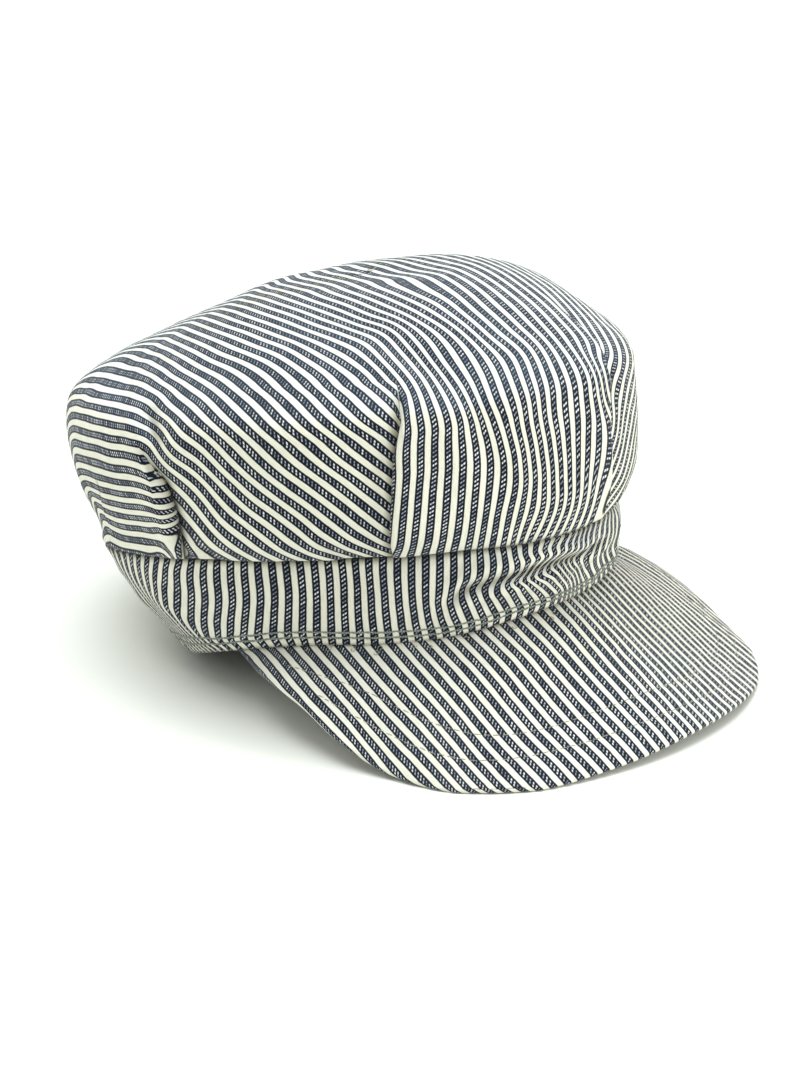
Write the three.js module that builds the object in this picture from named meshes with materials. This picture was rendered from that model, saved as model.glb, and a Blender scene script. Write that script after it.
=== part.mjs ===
import * as THREE from "three";

// Work cap with a soft crown, a band and a stiff peak. Millimetres, +Z up, the peak points to -Y.
// Right and left are the wearer's: right is -X. The floor is z = 0.

// ---- driving dimensions ----
const CROWN_WALL = 1.6;      // cloth wall of the crown
const BAND_WALL = 2.8;       // folded cloth of the band with its facing
const PEAK_WALL = 2.4;       // stiffened peak with the cloths over and under it
const PEAK_RIM_WALL = 1.6;   // the same at the rim
const SEAM_GAP = 0.4;        // clear space between neighbouring pieces
const PEAK_TUCK = 1.9;       // how far the peak's inner edge lies under the band
const CENTRE_X = 4.1;        // shift that puts the origin at the middle of the cap's box
const CENTRE_Y = 16.7;
const AROUND = 72;           // sections around the head
const CROWN_ROWS = 19;       // rows from the seam to the crown's top
const BAND_ROWS = 5;         // rows over the height of the band
const PEAK_ACROSS = 40;      // sections across the peak
const PEAK_DEEP = 8;         // rows from the band to the peak's rim

// ---- rings of the band ----
// turn: degrees from the front, + to the wearer's left. x, y, z of the lower edge, then of the seam with the crown.
const BAND_RINGS = [
  { turn: -180, lowX: 0, lowY: 72, lowZ: 0, topX: 0, topY: 88, topZ: 28 },
  { turn: -165, lowX: -19, lowY: 68, lowZ: 0, topX: -20, topY: 86, topZ: 28.5 },
  { turn: -150, lowX: -36, lowY: 56, lowZ: 0, topX: -39, topY: 80, topZ: 30 },
  { turn: -135, lowX: -52, lowY: 41, lowZ: 1.5, topX: -57, topY: 69, topZ: 32.5 },
  { turn: -120, lowX: -65.5, lowY: 23.5, lowZ: 5.5, topX: -73, topY: 56, topZ: 36 },
  { turn: -105, lowX: -74.5, lowY: 8, lowZ: 10.5, topX: -82, topY: 31, topZ: 41.5 },
  { turn: -90, lowX: -76.5, lowY: -8, lowZ: 16, topX: -82.5, topY: 3, topZ: 47 },
  { turn: -75, lowX: -75, lowY: -25, lowZ: 21.5, topX: -78.5, topY: -19, topZ: 51 },
  { turn: -60, lowX: -69, lowY: -45, lowZ: 26.5, topX: -70.5, topY: -40, topZ: 54.5 },
  { turn: -45, lowX: -59, lowY: -65, lowZ: 29.5, topX: -58, topY: -60, topZ: 57 },
  { turn: -30, lowX: -43, lowY: -81, lowZ: 32, topX: -42, topY: -79, topZ: 59.5 },
  { turn: -15, lowX: -23, lowY: -90, lowZ: 34.5, topX: -22, topY: -93, topZ: 60.5 },
  { turn: 0, lowX: 0, lowY: -93, lowZ: 35.7, topX: 0, topY: -98, topZ: 61 },
  { turn: 15, lowX: 23, lowY: -89, lowZ: 35.5, topX: 22, topY: -93, topZ: 60.5 },
  { turn: 30, lowX: 43, lowY: -78, lowZ: 34, topX: 41, topY: -80, topZ: 59 },
  { turn: 45, lowX: 59, lowY: -63, lowZ: 30, topX: 58, topY: -61, topZ: 57 },
  { turn: 60, lowX: 69, lowY: -44, lowZ: 26, topX: 70, topY: -40, topZ: 54.5 },
  { turn: 75, lowX: 75, lowY: -25, lowZ: 21, topX: 78.5, topY: -19, topZ: 51 },
  { turn: 90, lowX: 76.5, lowY: -8, lowZ: 16, topX: 82.5, topY: 3, topZ: 47 },
  { turn: 105, lowX: 73, lowY: 7, lowZ: 10.5, topX: 82, topY: 31, topZ: 41.5 },
  { turn: 120, lowX: 64, lowY: 22, lowZ: 5.5, topX: 72, topY: 54, topZ: 36 },
  { turn: 135, lowX: 51, lowY: 40, lowZ: 1.5, topX: 57, topY: 69, topZ: 32.5 },
  { turn: 150, lowX: 36, lowY: 56, lowZ: 0, topX: 39, topY: 80, topZ: 30 },
  { turn: 165, lowX: 19, lowY: 68, lowZ: 0, topX: 20, topY: 86, topZ: 28.5 },
];


// ---- crown levels above the seam ----
// lift: height of the level at the middle of the head; pitch: rise per mm towards the front; lean: rise per mm towards the left;
// the four radii; square: 2 is an ellipse.
const CROWN_LEVELS = [
  { lift: 56.9, pitch: 0.154, lean: 0, front: 101.5, back: 108, right: 92, left: 89, square: 1.85 },
  { lift: 72.5, pitch: 0.149, lean: -0.002, front: 100.5, back: 112.5, right: 98, left: 91.5, square: 1.82 },
  { lift: 88, pitch: 0.137, lean: -0.005, front: 97.5, back: 113, right: 100.5, left: 91.5, square: 1.87 },
  { lift: 99, pitch: 0.134, lean: -0.004, front: 93, back: 105, right: 95.5, left: 88, square: 2.01 },
  { lift: 109, pitch: 0.13, lean: 0, front: 81.5, back: 85.5, right: 81, left: 79.5, square: 1.96 },
  { lift: 120.5, pitch: 0.138, lean: 0.013, front: 60.5, back: 57.5, right: 60, left: 65, square: 1.9 },
  { lift: 129.5, pitch: 0.122, lean: 0.013, front: 34, back: 29, right: 32.5, left: 39.5, square: 1.96 },
  { lift: 130.5, pitch: 0.093, lean: 0, front: 0, back: 0, right: 0, left: 0, square: 2 },
];

// ---- peak rim, underside ----
// turn: where the rib meets the band's lower ring; x, y, z of its outer end on the peak's underside;
// arch: upward bow between its ends.
const PEAK_RIBS = [
  { turn: -84, x: -85.8, y: -39.8, z: 16.9, arch: 0 },
  { turn: -74, x: -88.9, y: -57.9, z: 14.7, arch: 1.2 },
  { turn: -62, x: -89.3, y: -76.4, z: 7.8, arch: 2.4 },
  { turn: -51, x: -86, y: -95.8, z: 1.6, arch: 3 },
  { turn: -40, x: -78.6, y: -118.6, z: 0, arch: 2.5 },
  { turn: -28, x: -60.4, y: -135.2, z: 0, arch: 2.1 },
  { turn: -14, x: -29.6, y: -144.6, z: 1.7, arch: 1.7 },
  { turn: 0, x: -0.4, y: -146.9, z: 3.2, arch: 0.8 },
  { turn: 14, x: 29.8, y: -142.8, z: 2.7, arch: -1.9 },
  { turn: 28, x: 56.5, y: -130.9, z: 0, arch: -2.9 },
  { turn: 40, x: 74.5, y: -114.6, z: 0, arch: -2 },
  { turn: 51, x: 84.8, y: -95.8, z: 1.4, arch: 1.1 },
  { turn: 62, x: 89.2, y: -76.6, z: 7.8, arch: 3.2 },
  { turn: 74, x: 89, y: -57.3, z: 14.5, arch: 4 },
  { turn: 84, x: 86, y: -40, z: 17.5, arch: 2 },
];

// ---- folds of the crown ----
// A fold runs from the seam at turn fromTurn up to row toRow (0 seam, 1 top) at toTurn.
// raise: step height in mm, reach: how far the step fades, over: side that lies on top, -1 towards the wearer's right.
const CROWN_FOLDS = [
  { name: "front right pleat", fromTurn: -40, toTurn: -38, toRow: 0.62, raise: 2.6, reach: 15, over: 1 },
  { name: "front left pleat", fromTurn: 4, toTurn: 22, toRow: 0.7, raise: 2.6, reach: 14, over: -1 },
  { name: "rear right pleat", fromTurn: -89.5, toTurn: -93, toRow: 0.43, raise: 4.2, reach: 11, over: -1 },
  { name: "rear left pleat", fromTurn: 87.5, toTurn: 94, toRow: 0.45, raise: 2.6, reach: 12, over: 1 },
  { name: "far right pleat", fromTurn: -112, toTurn: -110, toRow: 0.3, raise: 1.8, reach: 8, over: 1 },
  { name: "far left pleat", fromTurn: 114, toTurn: 111, toRow: 0.3, raise: 1.8, reach: 9, over: -1 },
  { name: "back right pleat", fromTurn: -151, toTurn: -155, toRow: 0.42, raise: 2.2, reach: 11, over: -1 },
  { name: "back left pleat", fromTurn: 151, toTurn: 155, toRow: 0.42, raise: 2.2, reach: 11, over: 1 },
];

// ---- soft bumps (+) and dents (-) of the crown ----
// turn and row of the middle, spread along each in mm, depth in mm, lean: degrees by which the long way turns.
const CROWN_DENTS = [
  { name: "front panel crease", turn: -24, row: 0.48, along: 34, across: 9, depth: -3.5, lean: 48 },
  { name: "front panel puff", turn: 8, row: 0.35, along: 30, across: 26, depth: 2.5, lean: 0 },
  { name: "side hollow", turn: -78, row: 0.3, along: 26, across: 14, depth: -2, lean: 60 },
  { name: "top ridge", turn: 4, row: 0.72, along: 30, across: 12, depth: 2, lean: 90 },
];

// ---- band surface ----
// row over the band's height (0 lower edge, 1 seam); belly: outward bow in mm.
const BAND_PROFILE = [
  { row: 0, belly: 0 },
  { row: 0.25, belly: 1 },
  { row: 0.5, belly: 1.6 },
  { row: 0.75, belly: 1.2 },
  { row: 1, belly: 0 },
];
// Buckle in the front of the band: middle turn and row, half width in degrees, depth in mm.
const BAND_BUCKLE = { turn: 3, row: 0.5, halfTurn: 30, halfRow: 0.22, depth: 3.4, rise: 0.25 };

// ---- shape functions ----
const rad = (deg) => (deg * Math.PI) / 180;
const clamp = (v, lo, hi) => Math.min(hi, Math.max(lo, v));
const smooth = (v) => { const t = clamp(v, 0, 1); return t * t * (3 - 2 * t); };
const wrap = (deg) => ((deg + 540) % 360) - 180;
const bell = (v) => Math.exp(-v * v);

// Catmull-Rom value through four neighbours
const blend = (a, b, c, d, t) =>
  0.5 * (2 * b + (c - a) * t + (2 * a - 5 * b + 4 * c - d) * t * t + (3 * b - a - 3 * c + d) * t * t * t);

function alongLoop(rows, keys, at) {
  const n = rows.length, k = Math.floor(at), t = at - k;
  return keys.map((key) => blend(...[-1, 0, 1, 2].map((o) => rows[(k + o + 2 * n) % n][key]), t));
}

function alongRow(rows, keys, at) {
  const last = rows.length - 1, k = clamp(Math.floor(at), 0, last - 1), t = at - k;
  return keys.map((key) => blend(...[-1, 0, 1, 2].map((o) => {
    const i = k + o;
    if (i < 0) return 2 * rows[0][key] - rows[1][key];
    if (i > last) return 2 * rows[last][key] - rows[last - 1][key];
    return rows[i][key];
  }), t));
}

const ringAt = (turn, edge) => alongLoop(BAND_RINGS, [edge + "X", edge + "Y", edge + "Z"], (wrap(turn) + 180) / 15);

function levelPoint(level, turn) {
  const s = Math.sin(rad(turn)), c = Math.cos(rad(turn));
  const long = c > 0 ? level.front : level.back, wide = s > 0 ? level.left : level.right;
  if (long === 0) return [0, 0, level.lift];
  const r = (Math.abs(s / wide) ** level.square + Math.abs(c / long) ** level.square) ** (-1 / level.square);
  return [r * s, -r * c, level.lift + level.pitch * r * c + level.lean * r * s];
}

function crownSmooth(turn, row) {
  const top = CROWN_LEVELS.length, at = row * top, k = Math.min(Math.floor(at), top - 1), t = at - k;
  const knot = (i) => {
    if (i < 0) { const [a, b] = [knot(0), knot(1)]; return a.map((v, j) => 2 * v - b[j]); }
    if (i === 0) return ringAt(turn, "top");
    if (i > top) { const p = levelPoint(CROWN_LEVELS[top - 2], turn); return [-p[0], -p[1], p[2]]; }
    return levelPoint(CROWN_LEVELS[i - 1], turn);
  };
  const [a, b, c, d] = [k - 1, k, k + 1, k + 2].map(knot);
  return b.map((_, j) => blend(a[j], b[j], c[j], d[j], t));
}

function crownRelief(turn, row) {
  const [x, y] = crownSmooth(turn, row);
  const r = Math.hypot(x, y);
  let out = 0;
  for (const f of CROWN_FOLDS) {
    const up = row / f.toRow;
    if (up > 1.15) continue;
    const off = rad(wrap(turn - (f.fromTurn + (f.toTurn - f.fromTurn) * up))) * r * f.over;
    const fade = 1 - smooth(up * 0.87);
    out += f.raise * fade * (off > -3 ? smooth((off + 3) / 6) * bell(Math.max(off, 0) / f.reach) : 0);
    out -= 0.5 * f.raise * fade * (off < 3 ? smooth((3 - off) / 6) * bell(Math.min(off, 0) / f.reach) : 0);
  }
  for (const d of CROWN_DENTS) {
    const [cx, cy, cz] = crownSmooth(d.turn, d.row), [px, py, pz] = crownSmooth(turn, row);
    const side = rad(wrap(turn - d.turn)) * Math.hypot(cx, cy), rise = (row > d.row ? 1 : -1) * Math.hypot(pz - cz, Math.hypot(px, py) - Math.hypot(cx, cy));
    const a = rad(d.lean), u = rise * Math.cos(a) + side * Math.sin(a), v = side * Math.cos(a) - rise * Math.sin(a);
    out += d.depth * bell(u / d.along) * bell(v / d.across);
  }
  return out * smooth(row * 9);
}

function bandOuter(turn, row) {
  const low = ringAt(turn, "low"), top = ringAt(turn, "top");
  const [belly] = alongRow(BAND_PROFILE, ["belly"], row * (BAND_PROFILE.length - 1));
  const b = BAND_BUCKLE, side = (turn - b.turn) / b.halfTurn;
  const fold = -b.depth * bell(side) * bell((row - b.row - b.rise * side * 0.3) / b.halfRow);
  const len = Math.hypot(low[0] + top[0], low[1] + top[1]) || 1, out = belly + fold;
  const p = low.map((v, i) => v + (top[i] - v) * row);
  return [p[0] + (out * (low[0] + top[0])) / len, p[1] + (out * (low[1] + top[1])) / len, p[2]];
}

// Grid of points from a function of the section and the row, rows listed from the first to the last
const grid = (across, rows, at) => Array.from({ length: rows }, (_, j) => Array.from({ length: across }, (_, i) => new THREE.Vector3(...at(i, j))));

function normalsOf(points, loop) {
  const rows = points.length, across = points[0].length;
  return points.map((line, j) => line.map((_, i) => {
    const left = points[j][loop ? (i + across - 1) % across : Math.max(i - 1, 0)];
    const right = points[j][loop ? (i + 1) % across : Math.min(i + 1, across - 1)];
    const down = points[Math.max(j - 1, 0)][i], up = points[Math.min(j + 1, rows - 1)][i];
    return new THREE.Vector3().subVectors(right, left).cross(new THREE.Vector3().subVectors(up, down)).normalize();
  }));
}

const shifted = (points, normals, by) => points.map((line, j) => line.map((p, i) => p.clone().addScaledVector(normals[j][i], by)));

class Skin {
  constructor() { this.places = []; this.faces = []; }
  add(p) { this.places.push(p.x + CENTRE_X, p.y + CENTRE_Y, p.z); return this.places.length / 3 - 1; }
  addGrid(points) { return points.map((line) => line.map((p) => this.add(p))); }
  quad(a, b, c, d) { this.faces.push(a, b, c, a, c, d); }
  // joins two lists of vertices of equal length by a strip
  strip(a, b, loop) {
    for (let i = 0; i < a.length - (loop ? 0 : 1); i++) {
      const k = (i + 1) % a.length;
      this.quad(a[i], a[k], b[k], b[i]);
    }
  }
  sheet(ids, loop, flip) {
    for (let j = 0; j + 1 < ids.length; j++) flip ? this.strip(ids[j + 1], ids[j], loop) : this.strip(ids[j], ids[j + 1], loop);
  }
  fan(ring, tip, flip) {
    for (let i = 0; i < ring.length; i++) {
      const k = (i + 1) % ring.length;
      flip ? this.faces.push(ring[k], ring[i], tip) : this.faces.push(ring[i], ring[k], tip);
    }
  }
  mesh(name, color) {
    const g = new THREE.BufferGeometry();
    g.setAttribute("position", new THREE.Float32BufferAttribute(this.places, 3));
    g.setIndex(this.faces);
    g.computeVertexNormals();
    const m = new THREE.Mesh(g, new THREE.MeshStandardMaterial({ color, roughness: 0.95, metalness: 0 }));
    m.name = name;
    return m;
  }
}

const onFloor = (points) => points.forEach((line) => line.forEach((p) => { p.z = Math.max(p.z, 0); }));
const turnOf = (i) => -180 + (360 * i) / AROUND;

// ---- crown ----
function crown() {
  const rowOf = (j) => { const t = j / CROWN_ROWS; return t * (1 + 0.12 * (1 - t)); };
  const base = grid(AROUND, CROWN_ROWS, (i, j) => crownSmooth(turnOf(i), rowOf(j)));
  const out = normalsOf(base, true);
  const outer = base.map((line, j) => line.map((p, i) => p.clone().addScaledVector(out[j][i], crownRelief(turnOf(i), rowOf(j)))));
  outer[0].forEach((p) => { p.z += SEAM_GAP / 2; });
  const inner = shifted(outer, normalsOf(outer, true), -CROWN_WALL);
  inner[0].forEach((p, i) => { p.z = outer[0][i].z; });
  const tip = new THREE.Vector3(...crownSmooth(0, 1));
  const s = new Skin(), a = s.addGrid(outer), b = s.addGrid(inner);
  s.sheet(a, true, false);
  s.sheet(b, true, true);
  s.strip(b[0], a[0], true);
  s.fan(a[CROWN_ROWS - 1], s.add(tip), false);
  s.fan(b[CROWN_ROWS - 1], s.add(tip.clone().setZ(tip.z - CROWN_WALL)), true);
  return s.mesh("crown", 0x8f98a6);
}

// ---- band ----
function band() {
  const outer = grid(AROUND, BAND_ROWS, (i, j) => bandOuter(turnOf(i), j / (BAND_ROWS - 1)));
  const inner = shifted(outer, normalsOf(outer, true), -BAND_WALL);
  onFloor(outer);
  inner[0].forEach((p, i) => { p.z = outer[0][i].z; });
  inner[BAND_ROWS - 1].forEach((p, i) => { p.z = outer[BAND_ROWS - 1][i].z; });
  for (const g of [outer, inner]) g[BAND_ROWS - 1].forEach((p) => { p.z -= SEAM_GAP / 2; });
  onFloor(inner);
  const s = new Skin(), a = s.addGrid(outer), b = s.addGrid(inner);
  s.sheet(a, true, false);
  s.sheet(b, true, true);
  s.strip(b[0], a[0], true);
  s.strip(a[BAND_ROWS - 1], b[BAND_ROWS - 1], true);
  return s.mesh("band", 0x7f8896);
}

// ---- peak ----
function peak() {
  // upper face at the inner edge, lower face at the rim
  const mid = grid(PEAK_ACROSS + 1, PEAK_DEEP + 1, (i, j) => {
    const [turn, x, y, z, arch] = alongRow(PEAK_RIBS, ["turn", "x", "y", "z", "arch"], (i / PEAK_ACROSS) * (PEAK_RIBS.length - 1));
    const ring = ringAt(turn, "low"), len = Math.hypot(ring[0], ring[1]), deep = j / PEAK_DEEP;
    const root = [ring[0] * (1 - PEAK_TUCK / len), ring[1] * (1 - PEAK_TUCK / len), ring[2] - SEAM_GAP];
    const rise = arch * Math.sin(Math.PI * deep) * deep ** 0.3;
    return [root[0] + (x - root[0]) * deep, root[1] + (y - root[1]) * deep, Math.max(root[2] + (z - root[2]) * deep + rise, 0)];
  });
  const down = normalsOf(mid, false);
  const wall = (deep) => PEAK_RIM_WALL + (PEAK_WALL - PEAK_RIM_WALL) * (1 - deep ** 4);
  const upper = mid.map((line, j) => line.map((p, i) => p.clone().addScaledVector(down[j][i], -wall(j / PEAK_DEEP) * (j / PEAK_DEEP))));
  const under = mid.map((line, j) => line.map((p, i) => p.clone().addScaledVector(down[j][i], wall(j / PEAK_DEEP) * (1 - j / PEAK_DEEP))));
  onFloor(under);
  const s = new Skin(), a = s.addGrid(upper), b = s.addGrid(under);
  s.sheet(a, false, true);
  s.sheet(b, false, false);
  s.strip(a[0], b[0], false);
  s.strip(b[PEAK_DEEP], a[PEAK_DEEP], false);
  const ends = (g, i) => g.map((line) => line[i]);
  s.strip(ends(b, 0), ends(a, 0), false);
  s.strip(ends(a, PEAK_ACROSS), ends(b, PEAK_ACROSS), false);
  return s.mesh("peak", 0x8a93a1);
}

const group = new THREE.Group();
group.name = "work_cap";
group.add(crown(), band(), peak());
export default group;
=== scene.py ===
import bpy
import math
import numpy as np
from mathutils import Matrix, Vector


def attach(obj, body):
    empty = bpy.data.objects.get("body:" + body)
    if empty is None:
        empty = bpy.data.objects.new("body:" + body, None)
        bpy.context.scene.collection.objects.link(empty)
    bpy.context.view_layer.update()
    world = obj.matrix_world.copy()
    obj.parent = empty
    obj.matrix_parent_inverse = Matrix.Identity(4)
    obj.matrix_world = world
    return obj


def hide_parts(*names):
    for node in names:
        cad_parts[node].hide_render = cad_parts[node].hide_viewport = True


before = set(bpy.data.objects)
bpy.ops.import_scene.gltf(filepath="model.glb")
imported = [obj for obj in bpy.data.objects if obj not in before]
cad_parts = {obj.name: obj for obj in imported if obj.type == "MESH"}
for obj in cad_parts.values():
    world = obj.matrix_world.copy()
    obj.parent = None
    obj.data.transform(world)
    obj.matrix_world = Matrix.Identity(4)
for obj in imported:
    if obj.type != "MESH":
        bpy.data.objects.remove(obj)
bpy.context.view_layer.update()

# ------------------------------------------------------------------ sizes, mm
PITCH = 4.6            # one navy and one cream stripe
CENTRE = (4.1, 16.7)   # shift of the origin to the middle of the cap's box
SEAM_GAP = 0.4
PEAK_TUCK = 1.9
PEAK_WALL = 2.4
PEAK_RIM_WALL = 1.6
FLAT_STEP = 12.0       # spacing of the cloth tables
FLAT_HALF = 156.0

# lower and upper edge of the band at every 15 degrees from the back round to the back: x, y, z of each
RINGS = np.array([
    [0, 72, 0, 0, 88, 28],
    [-19, 68, 0, -20, 86, 28.5],
    [-36, 56, 0, -39, 80, 30],
    [-52, 41, 1.5, -57, 69, 32.5],
    [-65.5, 23.5, 5.5, -73, 56, 36],
    [-74.5, 8, 10.5, -82, 31, 41.5],
    [-76.5, -8, 16, -82.5, 3, 47],
    [-75, -25, 21.5, -78.5, -19, 51],
    [-69, -45, 26.5, -70.5, -40, 54.5],
    [-59, -65, 29.5, -58, -60, 57],
    [-43, -81, 32, -42, -79, 59.5],
    [-23, -90, 34.5, -22, -93, 60.5],
    [0, -93, 35.7, 0, -98, 61],
    [23, -89, 35.5, 22, -93, 60.5],
    [43, -78, 34, 41, -80, 59],
    [59, -63, 30, 58, -61, 57],
    [69, -44, 26, 70, -40, 54.5],
    [75, -25, 21, 78.5, -19, 51],
    [76.5, -8, 16, 82.5, 3, 47],
    [73, 7, 10.5, 82, 31, 41.5],
    [64, 22, 5.5, 72, 54, 36],
    [51, 40, 1.5, 57, 69, 32.5],
    [36, 56, 0, 39, 80, 30],
    [19, 68, 0, 20, 86, 28.5],
])
# levels of the crown: lift, pitch, lean, front, back, right, left, square
LEVELS = [
    [56.9, 0.154, 0, 101.5, 108, 92, 89, 1.85],
    [72.5, 0.149, -0.002, 100.5, 112.5, 98, 91.5, 1.82],
    [88, 0.137, -0.005, 97.5, 113, 100.5, 91.5, 1.87],
    [99, 0.134, -0.004, 93, 105, 95.5, 88, 2.01],
    [109, 0.13, 0, 81.5, 85.5, 81, 79.5, 1.96],
    [120.5, 0.138, 0.013, 60.5, 57.5, 60, 65, 1.9],
    [129.5, 0.122, 0.013, 34, 29, 32.5, 39.5, 1.96],
    [130.5, 0.093, 0, 0, 0, 0, 0, 2],
]
# ribs of the peak: turn, x, y, z of the rim, arch
RIBS = np.array([
    [-84, -85.8, -39.8, 16.9, 0],
    [-74, -88.9, -57.9, 14.7, 1.2],
    [-62, -89.3, -76.4, 7.8, 2.4],
    [-51, -86, -95.8, 1.6, 3],
    [-40, -78.6, -118.6, 0, 2.5],
    [-28, -60.4, -135.2, 0, 2.1],
    [-14, -29.6, -144.6, 1.7, 1.7],
    [0, -0.4, -146.9, 3.2, 0.8],
    [14, 29.8, -142.8, 2.7, -1.9],
    [28, 56.5, -130.9, 0, -2.9],
    [40, 74.5, -114.6, 0, -2],
    [51, 84.8, -95.8, 1.4, 1.1],
    [62, 89.2, -76.6, 7.8, 3.2],
    [74, 89, -57.3, 14.5, 4],
    [84, 86, -40, 17.5, 2],
])
FLAT = [150, 144, 129, 113, 101, 86, 62, 34, 0]      # radius of the flat cut at the seam, the seven levels and the top
FOLD_ROWS = [0, 0.1, 0.2, 0.3, 0.4, 0.5, 0.6, 0.7, 0.8]
# pleats of the crown: where they run, where they end, the cloth they take up in degrees, and their relief in mm
FOLDS = [
    {"name": "BR", "turns": [-151, -152, -153, -154, -155, -156, -157, -158, -159], "apex": 0.42, "slip_side": -1, "jump": 18, "under": 1, "raise": 2.2, "reach": 11, "sink": 0.7, "sink_reach": 10, "hide": 7},
    {"name": "RB", "turns": [-111, -113.5, -112.3, -110.5, -109, -108, -107, -107, -107], "apex": 0.3, "slip_side": -1, "jump": 10, "under": -1, "raise": 1.7, "reach": 8, "sink": 0.5, "sink_reach": 8, "hide": 4},
    {"name": "RA", "turns": [-90.5, -88.8, -87.7, -87.8, -92, -98, -106, -115, -125], "apex": 0.43, "slip_side": -1, "jump": 16, "under": 1, "raise": 4.2, "reach": 10, "sink": 3.4, "sink_reach": 7, "hide": 8},
    {"name": "FR", "turns": [-40, -39.7, -39.3, -39, -38.7, -38.3, -37.9, -43, -53], "apex": 0.62, "slip_side": -1, "jump": 26, "under": -1, "raise": 2.9, "reach": 15, "sink": 1.1, "sink_reach": 12, "hide": 9},
    {"name": "FL", "turns": [6.5, 5, 5.6, 7, 9.3, 12, 18.5, 26, 40], "apex": 0.78, "slip_side": 1, "jump": 22, "under": 1, "raise": 2.8, "reach": 13, "sink": 1.9, "sink_reach": 9, "hide": 9},
    {"name": "LA", "turns": [88, 88, 88, 88.5, 91, 95, 100, 105, 110], "apex": 0.45, "slip_side": 1, "jump": 20, "under": -1, "raise": 2.6, "reach": 12, "sink": 0.8, "sink_reach": 10, "hide": 8},
    {"name": "LB", "turns": [114, 114, 114, 113, 112, 111, 110, 109, 108], "apex": 0.3, "slip_side": 1, "jump": 14, "under": 1, "raise": 1.8, "reach": 9, "sink": 0.6, "sink_reach": 9, "hide": 5},
    {"name": "BL", "turns": [151, 152, 153, 154, 155, 156, 157, 158, 159], "apex": 0.42, "slip_side": 1, "jump": 18, "under": -1, "raise": 2.2, "reach": 11, "sink": 0.7, "sink_reach": 10, "hide": 7},
]
# how far the cloth beside a pleat has slipped: power of the height, width in degrees, shift across and along the stripes in mm
SLIPS = {
    "FR": [(1, 10, 3.65, -0.448), (1, 25, 2.584, -0.85), (1, 60, -3.213, -2.566), (2, 10, -1.92, -0.291), (2, 25, -4.805, -0.99), (2, 60, -8.948, -2.982), (3, 10, 5.587, -0.588), (3, 25, 1.647, -1.888), (3, 60, 2.062, -4.844)],
    "FL": [(1, 10, -3.651, -0.653), (1, 25, -9.656, -3.368), (1, 60, 1.664, 1.44), (2, 10, -10.778, 1.888), (2, 25, -10.887, -4.389), (2, 60, 9.724, 1.101), (3, 10, -5.48, 2.549), (3, 25, -2.824, -7.004), (3, 60, 25.94, -1.528)],
    "RA": [(1, 10, -6.675, 3.103), (1, 25, 2.239, 4.179), (1, 60, 0.418, 4.394), (2, 10, -13.214, 0.309), (2, 25, -10.17, 1.541), (2, 60, -12.654, 5.599), (3, 10, 9.179, -1.724), (3, 25, 9.23, -1.01), (3, 60, 5.773, 3.465)],
    "RB": [(1, 10, -5.545, 1.46), (1, 25, -0.685, 0.028), (1, 60, -4.53, 2.677), (2, 10, -2.43, 0.129), (2, 25, 2.508, -0.398), (2, 60, -5.277, 7.077), (3, 10, -0.615, -0.513), (3, 25, 5.92, -1.753), (3, 60, -2.936, 7.888)],
    "BR": [(1, 10, 4.547, 5.211), (1, 25, 0.944, 2.35), (1, 60, -4.88, 2.106), (2, 10, 3.359, -1.169), (2, 25, 2.658, 3.65), (2, 60, -1.038, 7.486), (3, 10, 3.438, -6.479), (3, 25, 2.881, 1.032), (3, 60, -0.644, 7.073)],
    "BL": [(1, 10, -6.834, -1.804), (1, 25, -5.5, -1.194), (1, 60, -2.528, 4.268), (2, 10, -0.905, -5.997), (2, 25, -2.424, -0.948), (2, 60, -1.866, 6.953), (3, 10, 0.616, -8.549), (3, 25, -1.802, -2.098), (3, 60, -2.113, 6.703)],
    "LA": [(1, 10, -11.589, 3.079), (1, 25, -8.071, 1.302), (1, 60, 0.187, 2.222), (2, 10, -5.455, -9.373), (2, 25, -4.819, 0.178), (2, 60, -3.894, 14.953), (3, 10, -0.544, -13.336), (3, 25, 1.024, -1.109), (3, 60, 2.692, 15.348)],
    "LB": [(1, 10, -3.257, -5.758), (1, 25, -2.144, -5.442), (1, 60, 1.781, 1.862), (2, 10, -0.722, -5.988), (2, 25, -1.841, -4.389), (2, 60, -0.529, 7.298), (3, 10, -0.234, -3.943), (3, 25, -2.31, -3.737), (3, 60, -1.53, 7.71)],
}
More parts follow.
